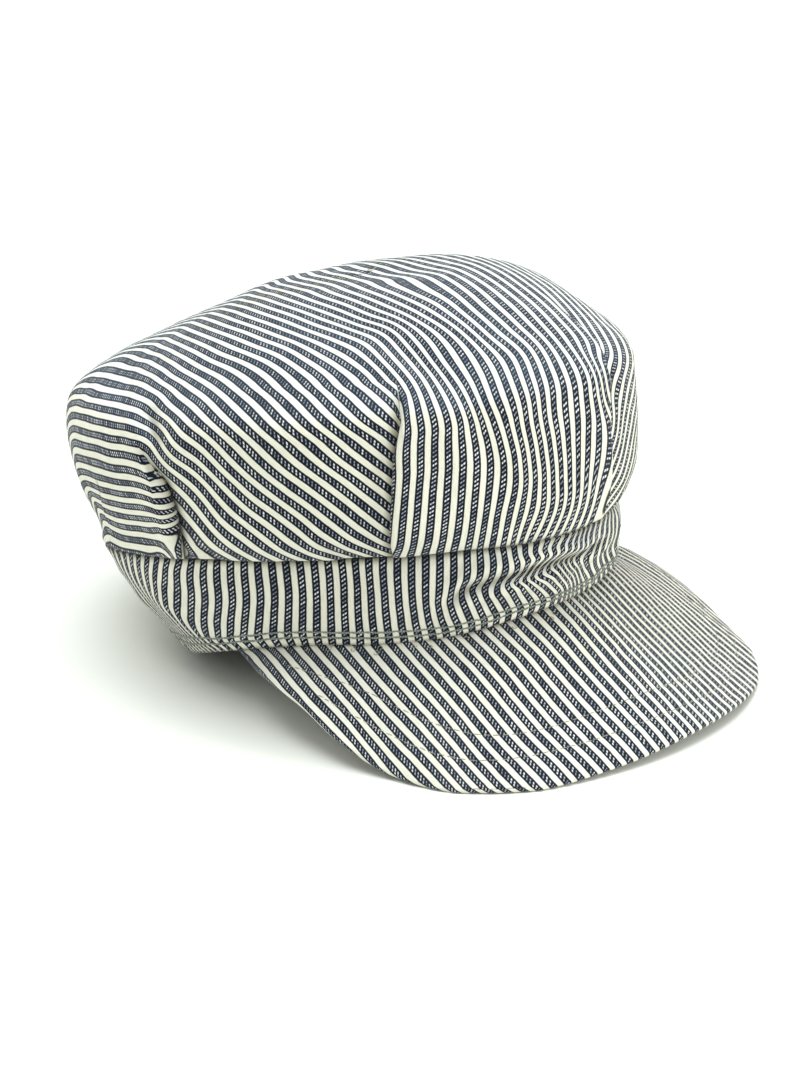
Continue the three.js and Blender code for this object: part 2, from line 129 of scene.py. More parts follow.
# shift of the flat cloth from a plain cone, across and along the stripes, mm; a row and a column every FLAT_STEP
CROWN_U = np.array([
    [5.3, 5.7, 6.3, 7.2, 8.8, 11.1, 14.9, 20.8, 30, 40.2, 45.3, 42.9, 39, 36.7, 37.2, 34.3, 29.8, 17.4, 4.7, -2.1, -3.6, -0.7, 5.7, 14.4, 24.7, 36, 47.8],
    [8.1, 8.3, 8.6, 9.2, 10.4, 12, 14.3, 16.7, 21.9, 23.2, 24.3, 23.2, 24.4, 26.6, 27.5, 22.8, 14.1, 5.7, -1.5, -5.9, -6.5, -3.4, 3.1, 12.3, 23.2, 35.1, 47.5],
    [11.1, 10.9, 10.8, 11.2, 12.1, 13.2, 15.7, 17.4, 17.3, 17, 16, 17.3, 19.8, 21.1, 19.3, 15.4, 9.2, 2.6, -2.7, -6.7, -8.3, -6.4, 0.2, 9.8, 21.4, 34.2, 47.4],
    [14.2, 13.5, 13, 12.9, 14.1, 14.9, 16.4, 15.6, 14.4, 13.2, 12.2, 14.7, 16.8, 16.5, 14.1, 10.7, 6.7, 0.6, -4, -7.7, -10.4, -9.8, -3.6, 6.4, 19.1, 32.9, 47.2],
    [17.2, 16.2, 15.1, 14.3, 15.4, 15.3, 14.1, 13.2, 11.8, 10.4, 10.9, 12.9, 14.4, 12.5, 11.1, 13.8, 5.8, -0.8, -6.1, -9.7, -12.1, -13.6, -10.1, 1.3, 15.7, 30.9, 46.6],
    [19.9, 18.6, 17.5, 17, 16.3, 13.9, 11.2, 9.7, 8.4, 7.9, 10.6, 9.7, 9.4, 8.5, 7.3, 11.2, 4.9, -2.7, -7.7, -11.6, -14.4, -15.4, -15.4, -8, 10.2, 27.2, 45.1],
    [21.7, 20, 18.8, 16.8, 14.2, 11.6, 8.8, 5.9, 4, 4, 6.4, 5, 4, 4, 3.9, 2.6, 2.2, -2.8, -8.6, -13.2, -15.8, -17.4, -17.4, -15, -1.5, 21.1, 42.1],
    [22.1, 19.4, 16.5, 13, 11, 8.6, 5.6, 1.9, -2.7, -0.9, 2.8, 1.6, 3.7, 3.2, 1.8, 0.1, -0.9, -4.5, -8.2, -13.1, -17, -18.7, -18.9, -18, -10.1, 15.5, 37.7],
    [20.8, 17.1, 12.1, 9.1, 7.4, 4.4, 0.8, -3.2, -6.8, -4.5, -1.6, -0.3, 2, 1.4, -0.6, -1.9, -3.2, -5.9, -9.3, -12.7, -16.9, -19.2, -20, -19, -15.8, 1.5, 31.1],
    [17.4, 12.5, 7.6, 5.1, 2.5, -0.7, -4.3, -7.4, -8.1, -7.7, -5, -0.7, -0, -1.5, -3.1, -4.1, -5.1, -7.1, -9.9, -13.2, -16.1, -19.3, -20, -19.5, -17.5, -5.4, 31.1],
    [13.8, 7.8, 3.2, -0.9, -3.5, -6.1, -8.5, -10, -9.2, -7.5, -3.1, -0.9, -0.7, -4.4, -5.7, -6.3, -6.7, -7.9, -10.2, -13.2, -16, -18.4, -19.6, -19.2, -17.4, -9.4, 24],
    [15.2, 3.8, -3.3, -8.3, -10.2, -10.9, -11.8, -12.6, -11.1, -7.3, -3.7, -2.2, -3, -7.7, -8.5, -8.1, -8, -8.5, -10.3, -13.1, -15.9, -17.6, -18.6, -18.2, -16.5, -11.2, 12.1],
    [17, -1.7, -9.6, -14.5, -15.4, -15.5, -15.1, -14.8, -12.9, -9.2, -5.1, -4.7, -7.1, -11.3, -11.1, -9.6, -8.9, -9.4, -10.8, -13.2, -15.9, -17.2, -17.3, -16.7, -14.4, -10.3, 8.3],
    [19.9, -12.1, -17.2, -20.9, -24.5, -20, -18.4, -17.3, -16.1, -12, -8.3, -8.7, -10.3, -12.8, -13.4, -11.7, -11, -11.3, -12.3, -14.3, -16.6, -17.7, -17.1, -15.7, -13.7, -9.9, 4.1],
    [-7.3, -17.9, -22.2, -25.2, -27.8, -25.9, -22.4, -21.4, -19.7, -16, -12.3, -11.2, -11.8, -13.6, -17.6, -17.2, -16.3, -15.9, -16.3, -17.6, -19.4, -20.6, -21.3, -20.6, -20.2, -17.8, -8.3],
    [-10.4, -22.7, -25.9, -28.3, -30.4, -29.6, -27.8, -26.2, -24.2, -21.2, -17.1, -14.6, -14.8, -18.5, -22, -23.1, -22.6, -21.9, -21.5, -22.2, -23.4, -24.7, -25.3, -25.8, -26.6, -25.6, -20.6],
    [-19.1, -26.6, -29.3, -31.7, -34.4, -33.7, -32, -32, -29.8, -27.3, -24.3, -22.3, -22.4, -24.2, -26.5, -27.8, -27.8, -27, -26.3, -26.4, -27, -27.8, -28.3, -29.9, -31, -31.2, -28.7],
    [-25.4, -30.1, -32.5, -35, -38.1, -39.2, -37.4, -36.7, -36.9, -34.1, -31.2, -29.3, -29, -29.8, -31, -31.8, -31.7, -30.8, -30, -29.7, -30, -30.4, -31.6, -32.4, -33.8, -33.3, -32.3],
    [-30, -34, -36.7, -39.8, -42.1, -44.5, -44.8, -43.2, -42.9, -40.7, -37.1, -35, -34.5, -34.5, -34.7, -34.7, -34.3, -33.4, -32.6, -32.5, -32.6, -33.8, -36, -35.7, -34.8, -33.7, -34.5],
    [-33.7, -37.8, -41.2, -45.3, -46.5, -48.2, -50, -50.9, -48.6, -44.3, -41.1, -39.4, -38.4, -37.8, -37.3, -36.7, -35.9, -35.2, -35, -34.7, -35.6, -38.5, -39.7, -39.3, -38.8, -38, -37.5],
    [-36.4, -39.5, -42.4, -47.1, -49.2, -50.6, -51.7, -53.1, -53.1, -49.7, -45.5, -42.7, -41.1, -40.1, -39.2, -38.4, -38, -37.6, -36.8, -37.4, -40.5, -42.2, -42.7, -42.9, -42.5, -41.6, -40.8],
    [-38.9, -41.7, -44.6, -48.4, -50.7, -52.3, -53.9, -54.7, -55.5, -55, -51.7, -48.8, -46.5, -44.8, -43.7, -42.9, -42.2, -40.2, -40.2, -42.5, -43.9, -44.8, -45.5, -45.9, -45.5, -44.6, -43.7],
    [-41.8, -44.7, -47.6, -50.5, -52.8, -54, -55.7, -57.6, -58.7, -57.5, -54.4, -52, -50.4, -49.2, -48.2, -47.2, -45.6, -43.9, -44, -45, -46.1, -47, -47.4, -47.8, -47.4, -46.7, -46],
    [-45.2, -48.2, -51.3, -54.1, -56.5, -57.9, -58.7, -60.3, -61.8, -59.5, -57, -55.1, -53.7, -52.7, -51.6, -50.4, -48.8, -46.9, -45.7, -46.5, -47.3, -47.5, -47.9, -48.2, -48.1, -47.8, -47.5],
    [-48.9, -52.1, -55.4, -58.5, -61.3, -63.8, -65.3, -66.6, -64.2, -60.8, -58.3, -56.9, -56, -55.3, -54.1, -52.9, -51.2, -48.9, -46.6, -45.3, -45.7, -46.3, -47.2, -47.8, -48.2, -48.3, -48.4],
    [-52.8, -56.3, -59.7, -63.1, -66.2, -68.8, -70.4, -70.2, -66.7, -62.7, -60.1, -58.6, -57.9, -57.6, -56.5, -55.3, -53.6, -51.1, -48, -45.6, -45.2, -45.6, -46.4, -47.3, -47.9, -48.5, -48.9],
    [-56.9, -60.6, -64.2, -67.8, -71, -73.4, -74.3, -73.1, -69.9, -66.5, -64.8, -63.9, -63.1, -62.8, -61.1, -59.2, -56.8, -53.4, -49.6, -46.8, -45.4, -45.2, -45.7, -46.6, -47.6, -48.4, -49.1],
])
CROWN_V = np.array([
    [-31.3, -28.4, -25.5, -22.4, -19, -15.2, -11.2, -6.9, -2.5, 2, 6.1, 10.5, 15.3, 19.4, 25.1, 31.2, 30.6, 30.9, 33.2, 33.4, 35.2, 39, 44.8, 52.2, 60.7, 69.9, 79.3],
    [-30, -27.1, -24.1, -21, -17.6, -13.7, -9, -4, 0.9, 6.4, 11.6, 17.2, 22.4, 26.7, 27.7, 31.5, 35.4, 37.7, 38.3, 36.4, 37.9, 40.8, 46.6, 54.4, 63.2, 72.7, 82.5],
    [-28.7, -25.7, -22.8, -19.7, -16.4, -12.4, -7, -0.7, 4.9, 9.3, 13, 16.3, 19.2, 21.6, 22.6, 26.7, 31.3, 35.5, 38.8, 40.4, 41.4, 42.3, 48.4, 56.3, 65.5, 75.4, 85.7],
    [-27.6, -24.5, -21.4, -18.3, -15, -11.5, -5, 0.2, 4.1, 7.6, 10.8, 13.3, 15.4, 17.7, 19.3, 22.4, 25.6, 29.8, 33.8, 38, 41.6, 44.9, 49.8, 57.6, 67.2, 77.8, 88.7],
    [-26.7, -23.4, -20.2, -16.8, -13.2, -10, -7, -3, 1.2, 4.9, 7.5, 9.6, 11.7, 13.8, 16.5, 18.6, 21.2, 24.7, 28.3, 32.3, 37.1, 42.4, 48.5, 57.1, 67.6, 79.2, 91.2],
    [-26.3, -22.8, -19.3, -15.8, -12.3, -10.6, -9.9, -7.3, -2.6, 1.6, 4.4, 6.6, 8.3, 10.1, 11.7, 13.7, 17.5, 20.6, 23.6, 27.2, 31.6, 37.1, 43.8, 53, 65.9, 79.1, 92.8],
    [-26.4, -22.7, -19, -15.4, -13.5, -12.5, -11.4, -9.9, -6.1, -1.1, 2.2, 4.9, 6.6, 8.2, 10, 12.3, 15.5, 18.7, 20.5, 22.8, 26.6, 31.9, 38.2, 46.9, 60, 76.8, 93.1],
    [-27.2, -23.4, -19.4, -16.7, -15.6, -14.4, -12.5, -9.5, -5.9, -2.1, 0.8, 3.4, 5.1, 6.9, 9.4, 12, 14.7, 17.9, 19.7, 20.3, 22.3, 26.9, 33.2, 40.7, 53.2, 73.3, 91.7],
    [-28.8, -24.9, -20.9, -18.9, -17.8, -15.9, -12.5, -7.5, -4.2, -2.8, -0.6, 1.5, 3.2, 5.5, 8.6, 11.4, 14.1, 17, 19, 20, 19.7, 22.6, 28.4, 35.8, 46, 65, 88.9],
    [-31.1, -26.9, -23.1, -21.4, -19.7, -16.9, -11.3, -6, -4.6, -3.7, -2.3, -0.7, 1.5, 4.2, 7.5, 10.4, 13.4, 16.1, 18.2, 19.3, 19.3, 19.2, 24.2, 31.6, 40.3, 57.5, 87.6],
    [-34.3, -29.5, -25.9, -23.9, -21.4, -17.1, -10.2, -6.7, -5.9, -5.2, -4.3, -2.8, -0.3, 3.2, 6.4, 9.2, 12.4, 15.5, 17.5, 18.6, 18.8, 17.6, 20.7, 27.7, 36.3, 50.5, 82.6],
    [-38.8, -32.8, -29.2, -26.4, -23.1, -17, -10.2, -8.4, -7.8, -7.3, -6.3, -4.7, -2, 2.4, 5.4, 8.1, 11.4, 15, 17.1, 18.2, 18.1, 17.1, 17.8, 24.5, 33.2, 44.9, 73.1],
    [-46.1, -38, -32.9, -28.6, -24.4, -17.1, -11.3, -10.3, -10.1, -9.5, -8.4, -6.5, -3, 2, 4.8, 7.9, 11.5, 15, 17.2, 17.8, 17.4, 16.7, 16.1, 22.4, 30.7, 40.9, 65.7],
    [-55.3, -43.6, -36, -30.1, -24.9, -17.6, -12.6, -12.2, -12.1, -11.7, -10.5, -8, -4.6, 0.5, 5.1, 9, 12.5, 15.5, 17.4, 17.5, 16.7, 16.4, 16.3, 21.4, 28.9, 38.4, 58.7],
    [-59.2, -43.9, -36.2, -30.1, -23.9, -18.3, -14.1, -13.8, -14, -13.9, -12.7, -9.9, -7.1, -4.2, 2.3, 7.9, 11.8, 14.8, 16.5, 16.6, 15.9, 16.6, 17.2, 19.6, 26.6, 34.1, 50.5],
    [-55.9, -43.6, -35.6, -29.8, -23.6, -18.4, -15.3, -15.1, -15.7, -16, -14.8, -12.4, -9.8, -7, -1.9, 4, 9, 12.9, 14.6, 15, 14.9, 16.7, 17, 19.4, 24.9, 30.6, 44.1],
    [-53.1, -43.3, -35.6, -29.1, -23, -18.1, -15.6, -15.7, -16.6, -16.6, -16, -14.4, -12, -8.9, -4.5, 0.9, 6.3, 10.3, 12.3, 13.1, 14.2, 16.4, 17.1, 20.1, 24.2, 29.7, 42.8],
    [-52.2, -43.7, -36.3, -27.7, -21.5, -17.7, -15, -14.9, -15.7, -16, -15.7, -14.5, -12.3, -9.3, -5.4, -0.4, 4.4, 8, 10.4, 11.6, 14.4, 15.6, 18.3, 21.7, 24.5, 32.1, 43.6],
    [-52.9, -45.4, -38.2, -28.8, -21.3, -17.7, -14.6, -13.1, -13.3, -14.1, -14.3, -13.3, -11.3, -8.3, -4.8, -0.7, 3.4, 6.9, 9.1, 12.1, 14.3, 15.6, 19.3, 22.5, 26.4, 37.2, 44.6],
    [-54.3, -47.3, -39.9, -31.5, -23.2, -18.1, -15.3, -11.8, -10.4, -11.2, -11.5, -10.9, -9.1, -6.5, -3.4, 0.3, 4, 7.3, 11, 13.5, 13.8, 16.9, 18.6, 19.9, 25.6, 34.9, 42.8],
    [-55.6, -48.9, -41.9, -34.4, -26.5, -19.5, -15.2, -12.1, -8.5, -6.8, -7.3, -7.3, -6, -3.7, -0.8, 2.9, 7.3, 11.9, 13.8, 13.6, 15.8, 16.9, 16.5, 17.2, 23.4, 30.9, 38.4],
    [-56.8, -50.4, -44, -37.2, -30.2, -22.7, -16.3, -11.8, -8.1, -4.1, -2.1, -1.8, -0.9, 1.1, 4.3, 8.4, 12.9, 15.5, 15.3, 16.3, 16.6, 15.4, 13.9, 15.1, 20.2, 26.7, 33.3],
    [-57.8, -51.7, -45.6, -39.4, -33.1, -26.7, -19.5, -12.8, -7.5, -4, -2.5, -0.2, 1.8, 4.1, 6.8, 9.7, 12.7, 17.2, 18.5, 17.4, 15.3, 13.3, 12.9, 14.2, 18.1, 23.2, 28.5],
    [-58.7, -52.8, -46.9, -41, -34.9, -29.3, -23.3, -16.4, -9.2, -7.1, -4.9, -2.5, -0.1, 2.4, 4.8, 7.4, 10.6, 14.8, 18.9, 16.3, 14.3, 13.4, 13.5, 14.5, 17.1, 20.7, 24.6],
    [-59.5, -53.9, -48.2, -42.5, -36.9, -31.3, -26.1, -20.2, -16.8, -13.3, -9.8, -6.5, -3.6, -0.8, 1.1, 3.1, 5.4, 8.8, 13.2, 16.8, 15.4, 14.8, 14.4, 15, 16.5, 18.9, 21.6],
    [-60.4, -55, -49.6, -44.4, -39.3, -34.5, -30.4, -27.1, -23.9, -19.6, -15.5, -12.1, -9, -5.9, -4.4, -2.8, -0.7, 2.5, 7.6, 12.1, 14, 14.6, 14.7, 15.1, 16.1, 17.6, 19.4],
    [-61.3, -56.1, -51.1, -46.3, -42, -38.2, -35, -32, -28, -21.9, -14.6, -9.1, -5.1, -1, -0.9, -0.5, -0.4, 0.1, 3.5, 7.9, 11.5, 13.5, 14.5, 15, 15.6, 16.5, 17.6],
])
CROWN_U0 = 32.246
# the same for the band (rows from the lower edge to the seam, columns every BAND_STEP degrees)
BAND_FROM = -130
BAND_STEP = 5
BAND_U = np.array([
    [-0.1, -0.3, -0.5, -0.5, 0.1, 1.5, 4, 7, 8.5, 8, 6.6, 4.7, 3, 1.8, 1, 0.2, -0.5, -1.3, -2.3, -3, -3.4, -3.5, -3.5, -3.5, -3.6, -3.7, -3.6, -3.1, -1.9, -0.1, 0.2, -0.1, -0.2, -0.1, -0, 0, 0, 0, -0],
    [-0.4, -0.4, -0.3, 0.3, 1.8, 4.8, 9.3, 13.2, 12.1, 10.2, 8.2, 5.9, 3.8, 2.2, 1, -0, -0.8, -1.4, -2, -2.5, -2.6, -2.9, -3.2, -3.3, -3.6, -3.7, -2.3, 0.5, 2.5, 1.1, -0.6, -0.6, -0.2, 0, 0.1, 0, 0, -0, -0],
    [-0.7, -0.5, -0.1, 1.1, 3.8, 8.2, 13.8, 13.9, 11.2, 9, 6.9, 5, 3.1, 1.6, 0.5, -0.5, -1, -1.3, -1.7, -1.8, -1.3, -1.6, -1.4, -1.6, -1.8, -1.1, 1, 6.3, 9.5, -0.4, -1.6, -0.4, 0.2, 0.2, 0.1, -0, -0, -0, -0],
    [-0.9, -0.6, 0.2, 2.1, 6, 11.4, 15, 12.5, 9.9, 7.6, 5.6, 3.8, 2.1, 0.8, -0.2, -0.9, -1.2, -1.3, -1.6, -1.3, -0.3, -0.2, 0.5, 0.4, 1.2, 2.9, 6.6, 13.5, 11.1, -6.2, 0.5, 1.3, 0.6, 0.1, -0.1, -0.1, -0.1, -0, 0],
    [-1.1, -0.6, 0.5, 2.9, 7.6, 14.1, 13.8, 10.6, 8.1, 5.9, 4.2, 2.6, 1.2, -0, -0.8, -1.4, -1.5, -1.4, -1.4, -1, 0.4, 1.3, 2.6, 2.5, 5.4, 7, 13.6, 18.9, 8.9, 3.6, 5.6, 1.9, 0.3, -0.2, -0.2, -0.2, -0.1, -0, 0],
    [-1.2, -0.4, 0.9, 3.5, 7.6, 12.5, 11.6, 8.8, 6.4, 4.5, 2.9, 1.6, 0.3, -0.7, -1.4, -1.8, -1.8, -1.6, -1.4, -1, -0.3, 2.3, 2.6, 6.2, 10.2, 11.6, 20.5, 20.5, 7.4, 11.8, 3.9, 1.2, 0.1, -0.3, -0.4, -0.2, -0.1, -0, 0],
    [-1.1, -0.2, 1.2, 3.7, 7.3, 9, 9.5, 7.2, 5.2, 3.6, 2.2, 1, -0.2, -1.2, -1.8, -2.1, -2.2, -1.7, -1.5, -1.2, -1, -0.1, 0.7, 1.9, 8.9, 15.3, 21.3, 16.8, 16, 13.7, 4.9, 1.8, 0.1, -0.4, -0.5, -0.3, -0.1, -0, 0.1],
    [-0.8, -0.2, 1, 3, 5.3, 6.1, 6.9, 5.9, 4.4, 3, 1.8, 0.7, -0.4, -1.4, -2, -2.4, -2.4, -1.8, -1.6, -1.5, -1.3, -0.8, -0, 1, 2.8, 6.2, 8.9, 11.1, 18.3, 12.1, 8, 3, 0.4, -0.5, -0.5, -0.3, -0.2, -0, 0.1],
    [-0.4, -0.2, 0.2, 0.9, 2.2, 3.4, 4.1, 4.4, 3.3, 2.3, 1.3, 0.4, -0.5, -1.5, -2.1, -2.5, -2.5, -1.9, -1.9, -1.8, -1.6, -0.9, 0.1, 2.2, 4.2, 6.1, 7.9, 9.2, 9.2, 12, 7.8, 3.3, 0.7, -0.3, -0.4, -0.3, -0.2, -0.1, 0],
    [0.1, -0.3, -0.7, -1.2, -1, 0, 1.1, 1.9, 1.6, 1.1, 0.7, -0.1, -0.7, -1.5, -2.1, -2.5, -2.5, -2.2, -2.3, -2.1, -1.8, -1, 0.7, 2.6, 3.2, 3.6, 4.3, 4.6, 4.7, 5.2, 4.5, 2.8, 1.1, 0.1, -0.3, -0.3, -0.2, -0.1, 0],
])
BAND_U0 = 99.665
# and the peak (rows from the band to the rim, columns from its right end to its left)
PEAK_U = np.array([
    [-30.2, -23.1, -15, -9.3, -4.3, -2.3, -3.7, 3.6, 7.3, 7.8, 8.4, 10, 12.4],
    [-27.7, -19.8, -12.3, -6.5, -2.4, -1.1, -2.7, 3.3, 5.3, 5.4, 5.4, 5.6, 7.9],
    [-24.3, -16.2, -10.1, -4.6, -0.1, 0.7, -0.9, 2.9, 4.4, 4.5, 5.3, 6.4, 9],
    [-21.1, -13.2, -9.2, -3.7, 1.5, 1.7, 0.4, 4.2, 5.9, 5.9, 7.7, 11.9, 16.3],
    [-17.7, -11.3, -9.4, -4, 1.4, 0.8, 0.6, 6.2, 7, 7.1, 9.2, 16.6, 25.1],
])
PEAK_U0 = 71.261
# creases and ridges of the crown between two places of it (turn, row), mm; dark is how much painted shade darkens the
# crease
CREASES = [
    {"t0": -42, "r0": 0.76, "t1": -27, "r1": 0.55, "height": -2.4, "width": 4.5, "shift": 0, "dark": 0},
    {"t0": -27, "r0": 0.55, "t1": -19, "r1": 0.22, "height": -1.9, "width": 4.5, "shift": 0, "dark": 0},
    {"t0": -42, "r0": 0.76, "t1": -27, "r1": 0.55, "height": 1.5, "width": 6, "shift": 9, "dark": 0},
    {"t0": -27, "r0": 0.55, "t1": -19, "r1": 0.22, "height": 1.3, "width": 6, "shift": 9, "dark": 0},
    {"t0": 11, "r0": 0.9, "t1": 8.5, "r1": 0.775, "height": 1.5, "width": 5, "shift": 0, "dark": 0},
    {"t0": 8.5, "r0": 0.775, "t1": 12.4, "r1": 0.64, "height": 1.5, "width": 5, "shift": 0, "dark": 0},
    {"t0": -124, "r0": 0.62, "t1": -105.7, "r1": 0.546, "height": -1.7, "width": 3.5, "shift": 0, "dark": 0},
    {"t0": -105.7, "r0": 0.546, "t1": -95, "r1": 0.39, "height": -2, "width": 3.5, "shift": 0, "dark": 0},
    {"t0": -102, "r0": 0.53, "t1": -89.5, "r1": 0.4, "height": 3, "width": 4.5, "shift": 3, "dark": 0},
    {"t0": -97.5, "r0": 0.54, "t1": -87.5, "r1": 0.385, "height": -2.3, "width": 4, "shift": -2, "dark": 0.8},
    {"t0": -44.5, "r0": 0.6, "t1": -42.6, "r1": 0.3, "height": -0.6, "width": 4, "shift": 0, "dark": 0.32},
    {"t0": -87.5, "r0": 0.13, "t1": -83, "r1": 0.01, "height": 1.3, "width": 2.6, "shift": 0, "dark": 0},
    {"t0": -83.5, "r0": 0.12, "t1": -79, "r1": 0.01, "height": -1.2, "width": 2.4, "shift": 0, "dark": 0.5},
    {"t0": -53, "r0": 0.15, "t1": -41.5, "r1": 0.03, "height": 1.5, "width": 2.6, "shift": 0, "dark": 0},
    {"t0": -56, "r0": 0.1, "t1": -44, "r1": 0.015, "height": -1.1, "width": 2.4, "shift": 0, "dark": 0},
    {"t0": -61, "r0": 0.09, "t1": -50, "r1": 0.012, "height": 0.8, "width": 2.6, "shift": 0, "dark": 0},
    {"t0": 0, "r0": 0.26, "t1": -8, "r1": 0.04, "height": 0.9, "width": 3.2, "shift": 0, "dark": 0},
    {"t0": -7, "r0": 0.2, "t1": -17, "r1": 0.02, "height": -0.8, "width": 3, "shift": 0, "dark": 0},
    {"t0": -70, "r0": 0.3, "t1": -62, "r1": 0.62, "height": -0.9, "width": 7, "shift": 0, "dark": 0},
    {"t0": -130, "r0": 0.18, "t1": -122, "r1": 0.3, "height": 0.8, "width": 5, "shift": 0, "dark": 0},
]
# the buckle of the band above the peak, and the long waves of its right side
BUCKLES = [
    {"turns": [-34, -30.7, -26.2, -22.2, -16.2, -11.7, -4, 0, 5.2, 12], "rows": [0.36, 0.43, 0.56, 0.6, 0.62, 0.65, 0.67, 0.7, 0.74, 0.8], "height": -2.8, "width": 0.075, "ease": 7},
    {"turns": [-34, -30.7, -26.2, -22.2, -16.2, -11.7, -4, 0, 5.2, 12], "rows": [0.55, 0.62, 0.75, 0.79, 0.81, 0.84, 0.86, 0.89, 0.93, 0.99], "height": 1.9, "width": 0.11, "ease": 7},
    {"turns": [-34, -30.7, -26.2, -22.2, -16.2, -11.7, -4, 0, 5.2, 12], "rows": [0.19, 0.26, 0.39, 0.43, 0.45, 0.48, 0.5, 0.53, 0.57, 0.63], "height": 1.5, "width": 0.12, "ease": 7},
    {"turns": [-9, 0, 10, 24], "rows": [0.80, 0.78, 0.75, 0.72], "height": 3.2, "width": 0.17, "ease": 9},
    {"turns": [-12, 0, 10, 22], "rows": [0.42, 0.40, 0.40, 0.40], "height": -1.2, "width": 0.12, "ease": 9},
    {"turns": [-104, -84], "rows": [0.75, 0.35], "height": -1.1, "width": 0.16, "ease": 6},
    {"turns": [-98, -80], "rows": [0.45, 0.2], "height": 0.9, "width": 0.14, "ease": 6},
    {"turns": [60, 84], "rows": [0.5, 0.7], "height": -1, "width": 0.15, "ease": 6},
    {"turns": [118, 150], "rows": [0.6, 0.4], "height": -0.9, "width": 0.16, "ease": 6},
]
STITCH_TURNS = [-180, -96, -81, -71, -62, -51, -36, -30, -23, -10, 0, 9, 18, 30, 45, 70, 100, 180]
STITCH_ROWS = [[0.085, 0.09, 0.085, 0.095, 0.092, 0.078, 0.058, 0.056, 0.062, 0.09, 0.105, 0.115, 0.17, 0.25, 0.2, 0.11, 0.085, 0.085], [0.151, 0.156, 0.151, 0.161, 0.158, 0.144, 0.124, 0.122, 0.128, 0.156, 0.171, 0.181, 0.236, 0.316, 0.266, 0.176, 0.151, 0.151]]
# the two rows of stitches on the peak: across it from right to left, and from the band to the rim
PEAK_STITCH = [
    {"across": [0.087, 0.12, 0.2, 0.225, 0.262, 0.28, 0.297, 0.327, 0.358, 0.39, 0.437, 0.472, 0.513, 0.6, 0.7, 0.82, 0.92], "deep": [0.37, 0.4, 0.43, 0.475, 0.565, 0.61, 0.65, 0.685, 0.7, 0.705, 0.703, 0.702, 0.705, 0.72, 0.735, 0.7, 0.5]},
    {"across": [0.125, 0.155, 0.188, 0.212, 0.257, 0.28, 0.303, 0.327, 0.35, 0.38, 0.422, 0.45, 0.487, 0.6, 0.72, 0.82, 0.88], "deep": [0.66, 0.685, 0.7, 0.725, 0.785, 0.81, 0.825, 0.83, 0.83, 0.833, 0.84, 0.846, 0.852, 0.86, 0.86, 0.83, 0.75]},
]

# ------------------------------------------------------------------ helpers
def rad(d):
    return np.radians(d)

def smooth(v):
    t = np.clip(v, 0, 1)
    return t * t * (3 - 2 * t)

def bell(v):
    return np.exp(-np.square(v))

def wrap(d):
    return ((np.asarray(d, float) + 540) % 360) - 180

def blend(a, b, c, d, t):
    return 0.5 * (2 * b + (c - a) * t + (2 * a - 5 * b + 4 * c - d) * t * t + (3 * b - a - 3 * c + d) * t ** 3)

def loop_at(table, cols, at):
    n = len(table)
    k = np.floor(at).astype(int)
    t = at - k
    return np.stack([blend(*[table[(k + o) % n, c] for o in (-1, 0, 1, 2)], t) for c in cols], -1)

def row_at(values, at):
    v = np.asarray(values, float)
    last = len(v) - 1
    k = np.clip(np.floor(at).astype(int), 0, last - 1)
    t = at - k
    e = np.concatenate([[2 * v[0] - v[1]], v, [2 * v[-1] - v[-2]]])
    return blend(e[k], e[k + 1], e[k + 2], e[k + 3], t)

class Waves:
    """Soft seeded noise: a sum of plane waves."""
    def __init__(self, seed, low, high, n=28):
        r = np.random.default_rng(seed)
        d = r.normal(size=(n, 3))
        d /= np.linalg.norm(d, axis=1)[:, None]
        lam = low * (high / low) ** r.random(n)
        self.k = d * (2 * math.pi / lam)[:, None]
        self.p = r.random(n) * 2 * math.pi
        self.a = (lam / high) ** 0.7
        self.a /= np.sqrt((self.a ** 2).sum() / 2)
    def __call__(self, P):
        out = np.zeros(P.shape[:-1])
        for k, p, a in zip(self.k, self.p, self.a):
            out += a * np.sin(P @ k + p)
        return out

# ------------------------------------------------------------------ surfaces of the cap, as in the CAD model
def ring_at(turn, edge):
    c = (0, 1, 2) if edge == "low" else (3, 4, 5)
    return loop_at(RINGS, c, (wrap(turn) + 180) / 15)

def level_point(i, turn):
    lift, pitch, lean, front, back, right, left, square = LEVELS[i]
    s, c = np.sin(rad(turn)), np.cos(rad(turn))
    if front == 0:
        z = np.zeros_like(s)
        return np.stack([z, z, z + lift], -1)
    long = np.where(c > 0, front, back)
    wide = np.where(s > 0, left, right)
    r = (np.abs(s / wide) ** square + np.abs(c / long) ** square) ** (-1 / square)
    return np.stack([r * s, -r * c, lift + pitch * r * c + lean * r * s], -1)

def crown_smooth(turn, row):
    """turn and row of equal shape; row 0 is the seam and 1 the top."""
    top = len(LEVELS)
    at = np.clip(row, 0, 1) * top
    k = np.minimum(np.floor(at).astype(int), top - 1)
    t = (at - k)[..., None]
    rings = [ring_at(turn, "top")] + [level_point(i, turn) for i in range(top)]
    first = 2 * rings[0] - rings[1]
    mirror = level_point(top - 2, turn) * np.array([-1, -1, 1])
    stack = np.stack([first] + rings + [mirror])
    take = lambda j: np.take_along_axis(stack, (k + j)[None, ..., None].repeat(3, -1), 0)[0]
    return blend(take(0), take(1), take(2), take(3), t)

def band_smooth(turn, row):
    low, top = ring_at(turn, "low"), ring_at(turn, "top")
    belly = row_at([0, 1, 1.6, 1.2, 0], row * 4)
    out = low[..., :2] + top[..., :2]
    out = out / np.linalg.norm(out, axis=-1, keepdims=True)
    p = low + (top - low) * row[..., None]
    p[..., :2] += out * belly[..., None]
    return p

